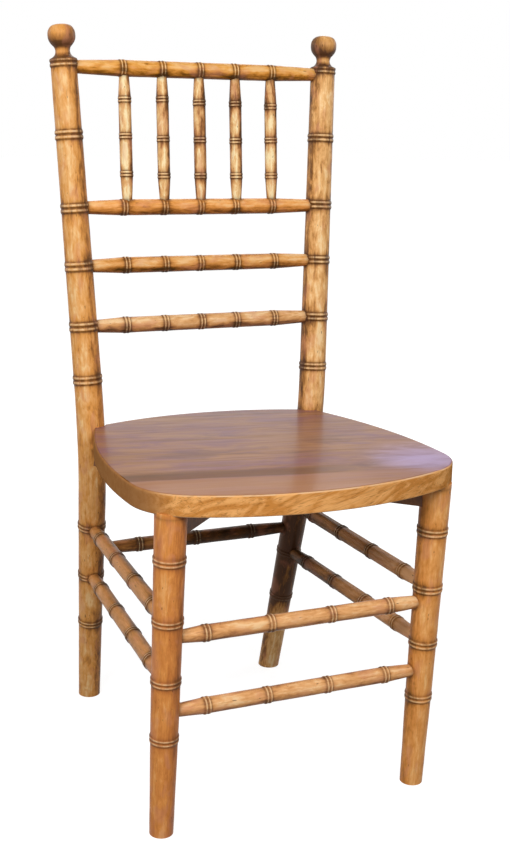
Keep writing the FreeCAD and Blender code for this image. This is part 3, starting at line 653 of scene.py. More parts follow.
def dark_glaze(tree, base, place, bareness_and_shade, strength):
    """Dark glaze in grooves and joints, broken up a little, and pale crests that are partly worn
    bare and partly painted highlight.
    """
    patch = noise(place, 170, 60, 3, 0.6)
    amount = attribute(tree, "glaze")
    pale_wear_and_highlight = (amount * -1).at_least(0) * smooth_step(patch, 0.36, 0.6, 0.45, 1)
    pale_wear_and_highlight = pale_wear_and_highlight * smooth_step(bareness_and_shade, -0.3, 0.6, 0.05, 0.7)
    laid = amount.at_least(0) * smooth_step(patch, 0.3, 0.6, 0.65, 1) * strength
    return mix(laid, mix(pale_wear_and_highlight, base, CREST_WEAR_AND_HIGHLIGHT), GLAZE), laid


print("layers are ready")

# %% The finish of turned wood
def turned_wood(
    name, rubbing, start=0.8, aside=0.8, beside=0.35, flame=0.0, lively=0.85, glaze=0.95
):
    """The finish of one kind of stick. rubbing is its five colours, the darkest first."""
    material, tree, shader = new_material(name)
    place = attribute(tree, "stock", "Vector")
    bareness_and_shade, streak = bareness_and_shade_of(tree, place, start, aside, beside, flame, lively)
    film = film_colour(bareness_and_shade, [colour(text) for text in rubbing.split()])
    base, laid = dark_glaze(tree, ticks(film, place), place, bareness_and_shade, glaze)
    feed(shader.inputs["Base Color"], base)
    rough = smooth_step(streak, 0.3, 0.7, 0.34, 0.46)
    feed(shader.inputs["Roughness"], laid * 0.15 + rough)
    shader.inputs["Specular IOR Level"].default_value = 0.1
    fine_bump(shader, streak, 0.2)
    return material


POST_WOOD = {
    "left": turned_wood(
        "left_post_wood", "6A4524 B2763C DC984E E9AD6A F4C88C", aside=0.65, glaze=0.8),
    "right": turned_wood(
        "right_post_wood", "5E3F2A A06E3C D69C5C F0BC7C FAD6A0", beside=0.4, lively=0.9,
        glaze=0.85),
}
print("finishes made:", [material.name for material in POST_WOOD.values()])

# %% [markdown]
# The back posts
#
# A back post is one stick, steamed into a bend at seat height. Its path is two straight runs
# joined by an arc, and its radius comes from a short list of marks. On top sits the finial: a
# hollow bell, a waist and a ball with a flattened top, all one smooth curve through a list of
# heights and radii in millimetres. Another list gives each height a tone: under the seat it
# darkens the post, most on the right, as painted shade of the seat, and the finial is darker at
# its waist and most under its ball. A third moves the rings of the left post, and three of the
# right one, off their even places, by less than 5 mm, as the turner's eye did.

# %% The path of a back post
RUN_PARTS, BEND_PARTS = 60, 40
PATH_STEP = 0.5 * mm


def post_axis(side, step):
    """Points along a back post from the floor to the top of the finial: the lower run, the
    bend and the upper run, whose steps are about this long."""
    rise = Vector((side * math.sin(POST_OUTWARD), 0, math.cos(POST_OUTWARD)))
    lower = rise * math.cos(POST_SPLAY) - BACK * math.sin(POST_SPLAY)
    upper = rise * math.cos(POST_LEAN) + BACK * math.sin(POST_LEAN)
    knee = post_point(side, POST_KNEE_Z)
    bend = POST_LEAN + POST_SPLAY
    tangent_length = POST_BEND_RADIUS * math.tan(bend / 2)
    foot = knee - lower * (POST_KNEE_Z / lower.z)
    bend_start = knee - lower * tangent_length
    bend_end = knee + upper * tangent_length
    top = knee + upper * ((FINIAL_TOP_Z - POST_KNEE_Z) / upper.z)
    inward = (upper - lower).normalized()
    centre = knee + inward * (POST_BEND_RADIUS / math.cos(bend / 2))
    points = [foot.lerp(bend_start, part / RUN_PARTS) for part in range(RUN_PARTS)]
    spoke = bend_start - centre
    hinge = lower.cross(upper).normalized()
    for part in range(BEND_PARTS):
        points.append(centre + Matrix.Rotation(bend * part / BEND_PARTS, 3, hinge) @ spoke)
    count = int((top - bend_end).length / step)
    return points + [bend_end.lerp(top, part / count) for part in range(count + 1)]


FINIAL_MM = (
    (876.1, 16.2), (877.8, 13.2), (880.2, 10.6), (883.2, 9.3),
    (886.8, 9.2), (890.0, 10.4), (892.6, 12.7), (895.5, 15.0),
    (899.4, 16.7), (904.2, 17.2), (908.8, 16.7), (912.2, 15.1),
    (914.9, 12.7), (916.4, 9.6), (917.1, 6.0), (917.4, 2.0),
)
FINIAL_FOOT_Z, FINIAL_TOP_Z = FINIAL_MM[0][0] * mm, FINIAL_MM[-1][0] * mm
UNDER_BALL_Z = 892.2 * mm


def slope_at(index):
    """How fast the finial's radius grows at one of its places."""
    low, high = FINIAL_MM[max(index - 1, 0)], FINIAL_MM[min(index + 1, len(FINIAL_MM) - 1)]
    return (high[1] - low[1]) / (high[0] - low[0])


def finial_radius(z):
    """A smooth curve through the places in FINIAL_MM."""
    place = min(max(z / mm, FINIAL_MM[0][0]), FINIAL_MM[-1][0])
    index = max(i for i in range(len(FINIAL_MM) - 1) if FINIAL_MM[i][0] <= place)
    (low, start), (high, end) = FINIAL_MM[index:index + 2]
    span = high - low
    part = (place - low) / span
    leaving = slope_at(index) * span * part * (1 - part) ** 2
    arriving = slope_at(index + 1) * span * part ** 2 * (1 - part)
    return (start + (end - start) * part ** 2 * (3 - 2 * part) + leaving - arriving) * mm


def post_radius(z):
    """Radius of a back post at a height, finial included."""
    return tapered(POST_RADII, z) if z < FINIAL_FOOT_Z else finial_radius(z)


def leg_radius(z):
    return tapered(LEG_RADII, z)


AXES = {"post": post_point, "leg": leg_point}
RADII = {"post": post_radius, "leg": leg_radius}


def towards(start, target, reach):
    """The point at a distance from start on the way to target."""
    return start + (target - start).normalized() * reach


def shifted(places, shifts):
    """Places that are moved by so many millimetres each."""
    return [place + shift * mm for place, shift in zip(places, shifts)]


def joints_on(own, side, other, other_side, heights):
    """Where the sticks that run from one post or leg to another enter the first."""
    ways = [(z, AXES[own](side, z), AXES[other](other_side, z)) for z in heights]
    return [towards(start, target, RADII[own](z)) for z, start, target in ways]


print("finial from", FINIAL_MM[0][0], "to", FINIAL_MM[-1][0], "mm up")

# %% Turn the back posts
UPRIGHT_SETTINGS = {
    "Bead Rise": 1.2 * mm,
    "Joint Radius": 8 * mm,
    "Foot Length": 40 * mm,
    "Step": 0.6 * mm,
    "Sides": 40,
}
# Each light side points roughly towards the lamps, so the flanks it darkens are painted shade.
LIGHT_SIDE = {"left": (-0.6, -0.8, 0.0), "right": (-0.1, -1.0, 0.0)}
POST_BEAD_WIDTH = {"left": 6.5 * mm, "right": 5.8 * mm}
POST_BEAD_SIZES = (0.76, 0.74, 0.78, 0.95, 1, 1, 1, 1, 0.86)
POST_RING_SHIFTS = {
    "left": (0.6, 1.9, 4.6, 1.0, 1.0, 0.5, -0.2, -0.5, -0.8),
    "right": (0, 0, 0, 0, 0, 0, 0.5, -0.6, 1.0),
}
FINIAL_TONES = {
    868: -0.1, 878: -0.45, 884: -0.1, 887: -0.2,
    892: -1.0, 898: -0.55, 906: -0.25, 917: -0.15,
}
# Under the seat the tones darken the posts, the right one most: painted shade of the seat.
POST_TONES_AND_SEAT_SHADE = {
    "left": {0: -0.08, 390: -0.08, 430: 0.0, 780: 0.0, **FINIAL_TONES},
    "right": {90: 0.0, 130: -0.75, 390: -0.75, 430: 0.0, 860: 0.0, **FINIAL_TONES},
}
RAIL_Z = (TOP_RAIL_Z, SPINDLE_RAIL_Z, MIDDLE_RAIL_Z, LOWER_RAIL_Z)
FINIAL_CREASE_Z = FINIAL_FOOT_Z + 1.5 * mm

for word, side in SIDES.items():
    points = post_axis(side, PATH_STEP)
    joints = joints_on("post", side, "post", -side, (*RAIL_Z, BACK_STRETCHER_Z))
    joints += joints_on("post", side, "leg", side, SIDE_STRETCHER_Z.values())
    rings = [post_point(side, z) for z in shifted(POST_RING_Z, POST_RING_SHIFTS[word])]
    creases = [post_point(side, z) for z in (FINIAL_CREASE_Z, UNDER_BALL_Z)]
    marks = {1: rings, 2: joints, 3: creases}
    radii = [post_radius(point.z) for point in points]
    tones = [tapered(POST_TONES_AND_SEAT_SHADE[word], point.z / mm) for point in points]
    own = {"Bead Width": POST_BEAD_WIDTH[word], "Rubbed Side": LIGHT_SIDE[word]}
    settings = {**UPRIGHT_SETTINGS, **own}
    node = "back_post_" + word
    turn(node, points, radii, tones, marks, POST_WOOD[word], settings, POST_BEAD_SIZES)

# %% [markdown]
# The front legs
#
# A front leg is straight, thicker towards the seat, with four double beads. No two pieces of
# wood take a stain alike: the left leg came out more orange, the right one more golden.

# %% Turn the front legs
LEG_TOP_Z = 403 * mm
SEAT_UNDERSIDE_Z = 397.5 * mm
LEG_PARTS = 40
LEG_BEAD_WIDTH = {"left": 4.9 * mm, "right": 5.4 * mm}
LEG_RING_SHIFT = {"left": 2.4 * mm, "right": -1.0 * mm}
LEG_WOOD = {
    "left": turned_wood(
        "left_leg_wood", "7C4A22 B06A36 CC7E3E DF924A EDAA66", aside=0.65, lively=0.6,
        glaze=0.45),
    "right": turned_wood(
        "right_leg_wood", "6E481F B27234 D88E46 E9A35C F5BC78", aside=0.55, lively=0.65,
        glaze=0.6),
}

for word, side in SIDES.items():
    points = [leg_point(side, LEG_TOP_Z * part / LEG_PARTS) for part in range(LEG_PARTS + 1)]
    joints = joints_on("leg", side, "leg", -side, FRONT_STRETCHER_Z.values())
    joints += joints_on("leg", side, "post", side, SIDE_STRETCHER_Z.values())
    rings = [leg_point(side, z + LEG_RING_SHIFT[word]) for z in LEG_RING_Z]
    marks = {1: rings, 2: joints, 3: [leg_point(side, SEAT_UNDERSIDE_Z)]}
    radii = [leg_radius(point.z) for point in points]
    tones = [0.0] * len(points)
    own = {"Bead Width": LEG_BEAD_WIDTH[word], "Rubbed Side": LIGHT_SIDE[word]}
    settings = {**UPRIGHT_SETTINGS, **own}
    turn("front_leg_" + word, points, radii, tones, marks, LEG_WOOD[word], settings)

# %% [markdown]
# Rails, spindles and stretchers
#
# The rods all follow one rule: thin at both ends, where they enter a socket, full between the
# outer beads, and beads at a nearly even pitch about the middle. One function turns them all
# from the two axes that they join.

# %% Turn a rod between two pieces
ROD_SETTINGS = {"Foot Length": 1 * mm, "Step": 0.5 * mm, "Sides": 28}
# Rods face the lamps with their upper front, so their darker flanks are painted shade.
UPPER_SIDE = (0.0, -0.78, 0.63)
HIDDEN_END = 7 * mm
SINK = 1.2 * mm
ROD_STEP = 2 * mm


def rod(node, ends, reaches, radii, beads, places, finish, settings, joints=(), tone=(0.0, 0.0)):
    """A rod between two axes. reaches are how thick the pieces are that it enters, radii its
    full and its end radius, places where its beads are, from its middle, and tone goes evenly
    from the first value at one end to the second at the other."""
    first, second = ends
    full, thin = radii
    span = (second - first).length
    direction = (second - first).normalized()
    rings = [span / 2 + place for place in places]
    near = rings[0] - beads["Bead Width"]
    far = rings[-1] + beads["Bead Width"]
    stops = {0: thin, reaches[0]: thin, near: full, far: full, span - reaches[1]: thin, span: thin}
    parts = int(span / ROD_STEP)
    lengths = [HIDDEN_END + (span - 2 * HIDDEN_END) * part / parts for part in range(parts + 1)]
    # Each end gets a crease mark just inside its socket, so the rod is darker for a few
    # millimetres where it enters.
    inner, outer = reaches[0] - SINK, reaches[1] - SINK
    creases = [towards(first, second, inner), towards(second, first, outer)]
    marks = {1: [first + direction * place for place in rings], 2: list(joints), 3: creases}
    points = [first + direction * place for place in lengths]
    widths = [tapered(stops, place) for place in lengths]
    tones = [tone[0] + (tone[1] - tone[0]) * part / parts for part in range(parts + 1)]
    turn(node, points, widths, tones, marks, finish, {**ROD_SETTINGS, **beads, **settings})


def rod_between(node, z, pieces, *how, **more):
    """A rod between two posts or legs, each given as ("post", side) or ("leg", side)."""
    ends = [AXES[kind](side, z) for kind, side in pieces]
    reaches = [RADII[kind](z) for kind, _ in pieces]
    rod(node, ends, reaches, *how, **more)


def evenly(count, pitch):
    """Places about the middle, a pitch apart."""
    return [pitch * (index - (count - 1) / 2) for index in range(count)]


BOTH_POSTS = (("post", -1), ("post", 1))
BOTH_LEGS = (("leg", -1), ("leg", 1))
print("four places 10 apart:", evenly(4, 10))

# %% Turn the rails
RAIL_BEADS = {"Bead Width": 4.4 * mm, "Bead Rise": 0.7 * mm}
RAIL_RADII = (10.3 * mm, 8.3 * mm)
RAIL_JOINT_RADIUS = 6.5 * mm
RAIL_RING_PITCH = 52.2 * mm
SPINDLE_PITCH = 50.9 * mm
SPINDLE_COUNT = 5
RAIL_NAMES = ("top_rail", "spindle_rail", "middle_rail", "lower_rail")
RAIL_RUBBINGS = (
    "4E3208 9E641C D68E3A E8A858 F0BC7A",
    "5C3A14 A8682A D88E44 EDA65E F4BC7C",
    "553812 9E6428 CE8A44 E4A660 EEBE84",
    "5A4028 A8734A D2985C E6B27A F2CC9A",
)
RAIL_RING_SHIFTS = (
    (-0.7, 0.7, 0.0, -3.3, -3.3),
    (-3.3, -1.1, -2.4, -5.6, -4.9),
    (-2.2, -1.1, -3.8, -4.9, -1.1),
    (-4.4, -2.7, -4.0, -6.2, -2.2),
)


def rail_middle(z):
    return (post_point(-1, z) + post_point(1, z)) / 2


def spindle_joints(z, way):
    """Where the spindles meet a rail, above it (1) or below it (-1)."""
    middle = rail_middle(z) + UP * RAIL_RADII[0] * way
    return [middle + Vector((x, 0, 0)) for x in evenly(SPINDLE_COUNT, SPINDLE_PITCH)]


RAIL_JOINTS = (spindle_joints(TOP_RAIL_Z, -1), spindle_joints(SPINDLE_RAIL_Z, 1), [], [])
rails = zip(RAIL_NAMES, RAIL_Z, RAIL_RUBBINGS, RAIL_RING_SHIFTS, RAIL_JOINTS)
for node, z, rubbing, shifts, joints in rails:
    finish = turned_wood(node + "_wood", rubbing, start=0.88, aside=0.9, glaze=0.75)
    settings = {"Joint Radius": RAIL_JOINT_RADIUS, "Rubbed Side": UPPER_SIDE}
    places = shifted(evenly(5, RAIL_RING_PITCH), shifts)
    how = (RAIL_RADII, RAIL_BEADS, places, finish, settings, joints)
    rod_between(node, z, BOTH_POSTS, *how)

# %% [markdown]
# The spindles show the palest wood of the chair: the glaze was rubbed off their middles almost
# down to the bare wood. The first is the palest, and the second and third keep more brown.
# Each was turned on its own, so their rings don't quite line up.

# %% Turn the spindles
SPINDLE_BEADS = {"Bead Width": 4 * mm, "Bead Rise": 0.65 * mm}
SPINDLE_RADII = (8.1 * mm, 6.45 * mm)
SPINDLE_SETTINGS = {"Joint Radius": 1 * mm, "Rubbed Side": (-0.5, -0.86, 0.0)}
SPINDLE_TONES = ((0.22, 0.12), (0.08, -0.02), (0.0, -0.12), (0.15, -0.15), (0.22, -0.12))
SPINDLE_RINGS = (
    (-44.0, 2.5, 48.0),
    (-46.8, 0.0, 49.3),
    (-46.8, -1.5, 46.8),
    (-46.8, -1.5, 45.5),
    (-46.8, -0.5, 42.8),
)
spindle_wood = turned_wood(
    "spindle_wood", "54361C 9C6638 D29A60 EBC084 F9E2B0", start=0.88, aside=1.05, beside=0.25,
    flame=0.12, lively=1.0)

for index, x in enumerate(evenly(SPINDLE_COUNT, SPINDLE_PITCH)):
    ends = [rail_middle(z) + Vector((x, 0, 0)) for z in (SPINDLE_RAIL_Z, TOP_RAIL_Z)]
    reaches = (RAIL_RADII[0], RAIL_RADII[0])
    places = [place * mm for place in SPINDLE_RINGS[index]]
    rod(
        f"spindle_{index + 1}", ends, reaches, SPINDLE_RADII, SPINDLE_BEADS, places,
        spindle_wood, SPINDLE_SETTINGS, tone=SPINDLE_TONES[index])

# %% [markdown]
# The stretchers are rods too. The front ones were rubbed as clean as the posts. The right side
# ones are painted lighter at the front end and darker towards the back, and the one at the back is
# painted dark all over: painted light and the seat's painted shade.

# %% Turn the stretchers
STRETCHER_BEADS = {"Bead Width": 4.6 * mm, "Bead Rise": 0.95 * mm}
STRETCHER_RADII = (9.6 * mm, 7.75 * mm)
STRETCHER_PLACES = evenly(4, 77.6 * mm)
FRONT_RING_SHIFTS = {"upper": (-5.9, -2.9, -2.0, -2.4), "lower": (-2.0, -2.5, -1.0, 0.0)}
BACK_PLACES = evenly(3, 84 * mm)
SIDE_STRETCHER_LIGHT_SIDE = (-0.7, -0.2, 0.63)
# Right side stretchers: painted light at the front end, painted shade of the seat at the back.
SIDE_TONES_AND_SEAT_SHADE = {"left": (0.0, 0.0), "right": (0.55, -0.6)}
BACK_SEAT_SHADE_TONE = (0.5, 0.0)
front_wood = turned_wood(
    "front_stretcher_wood", "6B4828 B0764A D6985E E8AE74 F2C692", start=0.84, aside=0.7,
    beside=0.25, glaze=0.55)
side_wood = turned_wood(
    "side_stretcher_wood", "4A331C 936233 BE8246 D2945A E6B07C", start=0.75, aside=0.7,
    lively=0.5, glaze=0.5)
# The back stretcher is painted dark all over: painted shade of the seat.
back_shaded_wood = turned_wood(
    "back_stretcher_shaded_wood", "38230F 5A3A1C 85562C A8713A C48A4C", start=0.35, aside=0.6)


def stretcher(node, z, pieces, places, finish, light_side=UPPER_SIDE, tone=(0.0, 0.0)):
    settings = {"Joint Radius": 1 * mm, "Rubbed Side": light_side}
    how = (STRETCHER_RADII, STRETCHER_BEADS, places, finish, settings)
    rod_between(node, z, pieces, *how, tone=tone)


for level, z in FRONT_STRETCHER_Z.items():
    places = shifted(STRETCHER_PLACES, FRONT_RING_SHIFTS[level])
    stretcher("front_stretcher_" + level, z, BOTH_LEGS, places, front_wood)

for word, side in SIDES.items():
    for level, z in SIDE_STRETCHER_Z.items():
        node, pieces = f"side_stretcher_{word}_{level}", (("leg", side), ("post", side))
        how = (STRETCHER_PLACES, side_wood, SIDE_STRETCHER_LIGHT_SIDE, SIDE_TONES_AND_SEAT_SHADE[word])
        stretcher(node, z, pieces, *how)

stretcher("back_stretcher", BACK_STRETCHER_Z, BOTH_POSTS, BACK_PLACES, back_shaded_wood, tone=BACK_SEAT_SHADE_TONE)

# %% [markdown]
# The outline of the seat
#
# Seen from above, the seat is six arcs: a bowed front, two bowed sides, a bowed back and two
# round front corners. The back corners are cut away by round notches that fit the posts. Each
# arc is worked out from circles that touch or cross, as a maker would draw it with a trammel.

# %% The outline of the seat
FRONT_BOW = 395 * mm
SIDE_BOW = 650 * mm
BACK_BOW = 390 * mm
CORNER = 78 * mm
NOTCH = 18.3 * mm
SEAT_FRONT_Y = -233.4 * mm
SEAT_BACK_Y = 172.6 * mm
SEAT_WIDEST = (203.3 * mm, -100.4 * mm)
OUTLINE_STEP, NOTCH_STEP = 4 * mm, 2 * mm
X, Y = 0, 1


def crossing(first, first_radius, second, second_radius, axis):
    """Of the two points where two circles cross, the one that is lower along an axis."""
    gap = second - first
    reach = (first_radius ** 2 - second_radius ** 2 + gap.length_squared) / (2 * gap.length)
    aside = math.sqrt(first_radius ** 2 - reach ** 2)
    step = gap.normalized()
    sideways = Vector((-step.y, step.x)) * aside
    middle = first + step * reach
    return min(middle + sideways, middle - sideways, key=lambda point: point[axis])


def arc(centre, start, end, turn_sign, spacing=OUTLINE_STEP):
    """Points on a circle from start to just before end. turn_sign is 1 for a left turn."""
    first = math.atan2(start.y - centre.y, start.x - centre.x)
    last = math.atan2(end.y - centre.y, end.x - centre.x)
    sweep_angle = (last - first) * turn_sign % (2 * math.pi) * turn_sign
    arc_radius = (start - centre).length
    count = max(4, int(abs(sweep_angle) * arc_radius / spacing))
    angles = [first + sweep_angle * part / count for part in range(count)]
    return [centre + Vector((math.cos(angle), math.sin(angle))) * arc_radius for angle in angles]


def notch_centre():
    """Where a back post passes the middle of the board, in the board's plane."""
    points = [seat_frame.inverted() @ point for point in post_axis(1, 20 * mm)]
    nearest_one = min(points, key=lambda point: abs(point.z + SEAT_THICKNESS / 2))
    return nearest_one.xy


def seat_half():
    """The right half of the outline, from the middle of the front to the middle of the back."""
    front = Vector((0, SEAT_FRONT_Y + FRONT_BOW))
    back = Vector((0, SEAT_BACK_Y - BACK_BOW))
    side = Vector((SEAT_WIDEST[0] - SIDE_BOW, SEAT_WIDEST[1]))
    corner = crossing(front, FRONT_BOW - CORNER, side, SIDE_BOW - CORNER, Y)
    front_end = towards(front, corner, FRONT_BOW)
    side_start = towards(side, corner, SIDE_BOW)
    notch = notch_centre()
    side_end = crossing(side, SIDE_BOW, notch, NOTCH, Y)
    notch_end = crossing(back, BACK_BOW, notch, NOTCH, X)
    points = arc(front, Vector((0, SEAT_FRONT_Y)), front_end, 1)
    points += arc(corner, front_end, side_start, 1)
    points += arc(side, side_start, side_end, 1)
    points += arc(notch, side_end, notch_end, -1, NOTCH_STEP)
    points += arc(back, notch_end, Vector((0, SEAT_BACK_Y)), 1)
    return points + [Vector((0, SEAT_BACK_Y))]


half = seat_half()
outline = half + [Vector((-point.x, point.y)) for point in reversed(half[1:-1])]
width = max(point.x for point in outline) * 2
print("the outline has", len(outline), "points and is", round(width, 4), "m wide")

# %% [markdown]
# The seat board
#
# The board is the outline carried down in small steps: a rounded upper arris, the straight
# edge, and a smaller rounded lower arris. Each step moves inwards, square to the outline. Top
# and bottom are flat, so one face closes each.

# %% The seat board
UPPER_ARRIS, LOWER_ARRIS = 2.5 * mm, 1.5 * mm
EDGE_PARTS = 6
SHARP = math.radians(28)


def inward_normals(points):
    normals = []
    for index in range(len(points)):
        way = points[(index + 1) % len(points)] - points[index - 1]
        normals.append(Vector((-way.y, way.x)).normalized())
    return normals


def arris(radius, steps):
    """(how far in, how far down) for a quarter round."""
    angles = [math.pi / 2 * step / steps for step in range(steps + 1)]
    return [(radius * (1 - math.sin(angle)), radius * (1 - math.cos(angle))) for angle in angles]


def seat_board(name):
    upper = arris(UPPER_ARRIS, 5)
    lower = [(inset, SEAT_THICKNESS - drop) for inset, drop in reversed(arris(LOWER_ARRIS, 4))]
    middle = [(0, SEAT_THICKNESS * part / EDGE_PARTS) for part in range(1, EDGE_PARTS)]
    rings = upper + middle + lower
    normals = inward_normals(outline)
    vertices = []
    for inset, drop in rings:
        for point, normal in zip(outline, normals):
            place = point + normal * inset
            vertices.append(seat_frame @ Vector((place.x, place.y, -drop)))
    count = len(outline)
    faces = [list(range(count))]
    for first in range(0, len(vertices) - count, count):
        for index in range(count):
            after = (index + 1) % count
            faces.append([first + i for i in (index, count + index, count + after, after)])
    faces.append(list(reversed(range(len(vertices) - count, len(vertices)))))
    mesh = bpy.data.meshes.new(name)
    mesh.from_pydata(vertices, [], faces)
    mesh.shade_smooth()
    mesh.set_sharp_from_angle(angle=SHARP)
    mesh.polygons[0].material_index = 1
    mesh.polygons[len(faces) - 1].material_index = 1
    return new_object(name, mesh)


seat = seat_board("seat_board")
print("seat board:", len(seat.data.polygons), "faces")

# %% [markdown]
# The finish of the seat
#
# The seat is a wide board with its grain from left to right. Its face is stained brown with long
# olive streaks, and its cool purple clouds are partly stain and partly a painted reflection of a
# cool sky. It was lacquered glossier than the sticks, so it mirrors the right post a little. A
# darker band slants across its front, and a lavender painted reflection lies at the front right
# corner.

# %% The face of the seat
SEAT_BROWN = colour("A2714E")
SEAT_PURPLE_AND_SKY_SHEEN = colour("875A5E")
SEAT_OLIVE = colour("8A6136")
SEAT_DARK = colour("6A4432")
SEAT_SMUDGE = colour("6A4848")
SEAT_BAND = colour("623600")
SEAT_STRIP = colour("9E6840")
SEAT_LAVENDER_REFLECTION = colour("B49CC4")
BAND_MIDDLE = -142 * mm
BAND_WAVE = 14 * mm
BAND_FADES = (0.0, 170 * mm)
GRAIN_SLANT = math.radians(9.4)
REFLECTION_PLACE = (168 * mm, -150 * mm, 425 * mm)
REFLECTION_REACH = (60 * mm, 150 * mm)


def rotated(place, angles):
    return shade(place.tree, "Mapping", {"Vector": place, "Rotation": angles})


def along_x(place):
    """Swap x and z, so that noise that is stretched along z runs along x."""
    return combine(place.tree, place.part("Z"), place.part("Y"), place.part("X"))


def face_colour(place):
    slanted = rotated(place, (0, 0, GRAIN_SLANT))
    grain = along_x(slanted)
    cloud = noise(grain, 34, 13, 4, 0.6, 0.6)
    streak = noise(grain, 120, 8, 5, 0.6, 0.35)
    # Purple clouds: partly stain, partly a painted reflection of a cool sky.
    face = lay_over(SEAT_BROWN, SEAT_PURPLE_AND_SKY_SHEEN, cloud, 0.34, 0.7)
    face = lay_over(face, SEAT_OLIVE, streak, 0.46, 0.68, 0.6)
    face = lay_over(face, SEAT_DARK, noise(grain, 800, 40, 3, 0.6, 0.3), 0.5, 0.72, 0.22)
    face = lay_over(face, SEAT_SMUDGE, noise(grain, 16, 9, 3, 0.55, 0.8), 0.54, 0.7, 0.45)

    wave = (noise(grain, 3, 9, 2, 0.5) - 0.5) * BAND_WAVE
    beyond = slanted.part("Y") - BAND_MIDDLE + wave
    strip = smooth_step(slanted.part("X"), *BAND_FADES, 0.75, 0.4)
    strip = strip * smooth_step(beyond, -26 * mm, -14 * mm, 1, 0)
    band = smooth_step(slanted.part("X"), *BAND_FADES, 0.95, 0.15)
    band = band * smooth_step(beyond, -20 * mm, -14 * mm)
    band = band * smooth_step(beyond, 4 * mm, 24 * mm, 1, 0)
    band = band * smooth_step(streak, 0.3, 0.6, 1, 0.7)
    face = mix(band, mix(strip, face, SEAT_STRIP), SEAT_BAND)

    # A lavender reflection is painted at the front right corner.
    from_corner = cloud * (120 * mm) + place.calc("DISTANCE", REFLECTION_PLACE)
    return mix(smooth_step(from_corner, *REFLECTION_REACH, 0.85, 0), face, SEAT_LAVENDER_REFLECTION), streak


print("the seat's face is", rounded(SEAT_BROWN))

# %% [markdown]
# The edge of the board kept the honey colour of the sticks. Its grain runs nearly level along
# the front, a little slanted, with thin dark lines, and at the two ends the cut fibres drink
# more stain and turn olive. Along the front a pale highlight is painted on the arris.

# %% The edge of the seat
EDGE_LIGHT = colour("EBAC68")
EDGE_MIDDLE = colour("C98540")
EDGE_DARK = colour("8E5A2A")
EDGE_END = colour("98683E")
EDGE_HIGHLIGHT = colour("E4BE94")
EDGE_SLANT = math.radians(14)


def edge_colour(place, normal):
    grain = along_x(rotated(place, (0, EDGE_SLANT, 0)))
    cloud = noise(grain, 55, 13, 4, 0.6, 1.6)
    streak = noise(grain, 300, 14, 4, 0.6, 0.8)
    line = noise(grain, 900, 30, 2, 0.5)
    level = (normal * (1, 1, 0)).unit()
    crosswise = smooth_step(abs(level.part("X")), 0.55, 0.95)
    calm = 1 - crosswise * 0.7
    edge = lay_over(EDGE_LIGHT, EDGE_MIDDLE, cloud, 0.36, 0.62)
    edge = mix(smooth_step(streak, 0.52, 0.72, 0, 0.6) * calm, edge, EDGE_DARK)
    edge = mix(smooth_step(line, 0.56, 0.7, 0, 0.5) * calm, edge, EDGE_DARK)
    edge = mix(crosswise * 0.85, edge, EDGE_END)
    # A pale highlight is painted on the arrises along the front.
    arris_highlight = smooth_step(abs(normal.part("Z")), 0.25, 0.6) * smooth_step(cloud, 0.36, 0.56, 0.2, 0.9)
    return mix(arris_highlight * smooth_step(level.part("Y"), -0.9, -0.4, 1, 0), edge, EDGE_HIGHLIGHT)


print("the seat's edge is", rounded(EDGE_LIGHT))

# %% [markdown]
# Both finishes share their colours, so that the face runs out over the rounded arris without a
# line. Only the face has the glossy coat.

# %% Finish the seat
def board_finish(name, coat, specular):
    material, tree, shader = new_material(name)
    place = object_place(tree)
    normal = shade(tree, "NewGeometry", None, "Normal")
    face, streak = face_colour(place)
    base = lay_over(edge_colour(place, normal), face, abs(normal.part("Z")), 0.8, 0.99)
    feed(shader.inputs["Base Color"], base)
    feed(shader.inputs["Roughness"], smooth_step(streak, 0.3, 0.7, 0.36, 0.46))
    shader.inputs["Specular IOR Level"].default_value = specular
    shader.inputs["Coat Weight"].default_value = coat
    shader.inputs["Coat Roughness"].default_value = 0.16
    fine_bump(shader, streak, 0.12)
    return material


seat.data.materials.append(board_finish("seat_edge_wood", coat=0.0, specular=0.0))
seat.data.materials.append(board_finish("seat_face_wood", coat=0.17, specular=0.07))
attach(seat, "root")
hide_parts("seat")
print("seat finished with", [material.name for material in seat.data.materials])

# %% [markdown]
# What carries the seat
#
# Two diagonal rails lie under the board, sawn and only stained, and four screws come up through
# them. Their construction solids have the right shape, so they stay and get a finish.

# %% The rails and screws under the seat
SAWN_LIGHT, SAWN_DARK = colour("7A4E2A"), colour("5A361C")
STEEL_LIGHT, STEEL_DARK = colour("A8A6A0"), colour("8C8A84")


def sawn_wood(name):
    material, tree, shader = new_material(name)
    place = object_place(tree)
    saw = noise(place, 500, 300, 2, 0.5)
    streak = noise(place, 90, 60, 4, 0.6, 0.4)
    base = lay_over(SAWN_LIGHT, SAWN_DARK, streak, 0.35, 0.65)
    feed(shader.inputs["Base Color"], lay_over(base, PORE, saw, 0.45, 0.7, 0.5))
    shader.inputs["Roughness"].default_value = 0.65
    fine_bump(shader, saw, 0.4)
    return material


def screw_steel(name):
    material, tree, shader = new_material(name)
    scuff = noise(object_place(tree), 900, 900, 3, 0.6)
    feed(shader.inputs["Base Color"], lay_over(STEEL_LIGHT, STEEL_DARK, scuff, 0.4, 0.6))
    shader.inputs["Metallic"].default_value = 1.0
    feed(shader.inputs["Roughness"], smooth_step(scuff, 0.3, 0.7, 0.3, 0.45))
    return material


under_wood = sawn_wood("under_wood")
KEPT = {
    "cross_rail_left": under_wood,
    "cross_rail_right": under_wood,
    "seat_screws": screw_steel("screw_steel"),
}
for node, material in KEPT.items():
    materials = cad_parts[node].data.materials
    materials.clear()
    materials.append(material)
print("kept nodes painted:", list(KEPT))

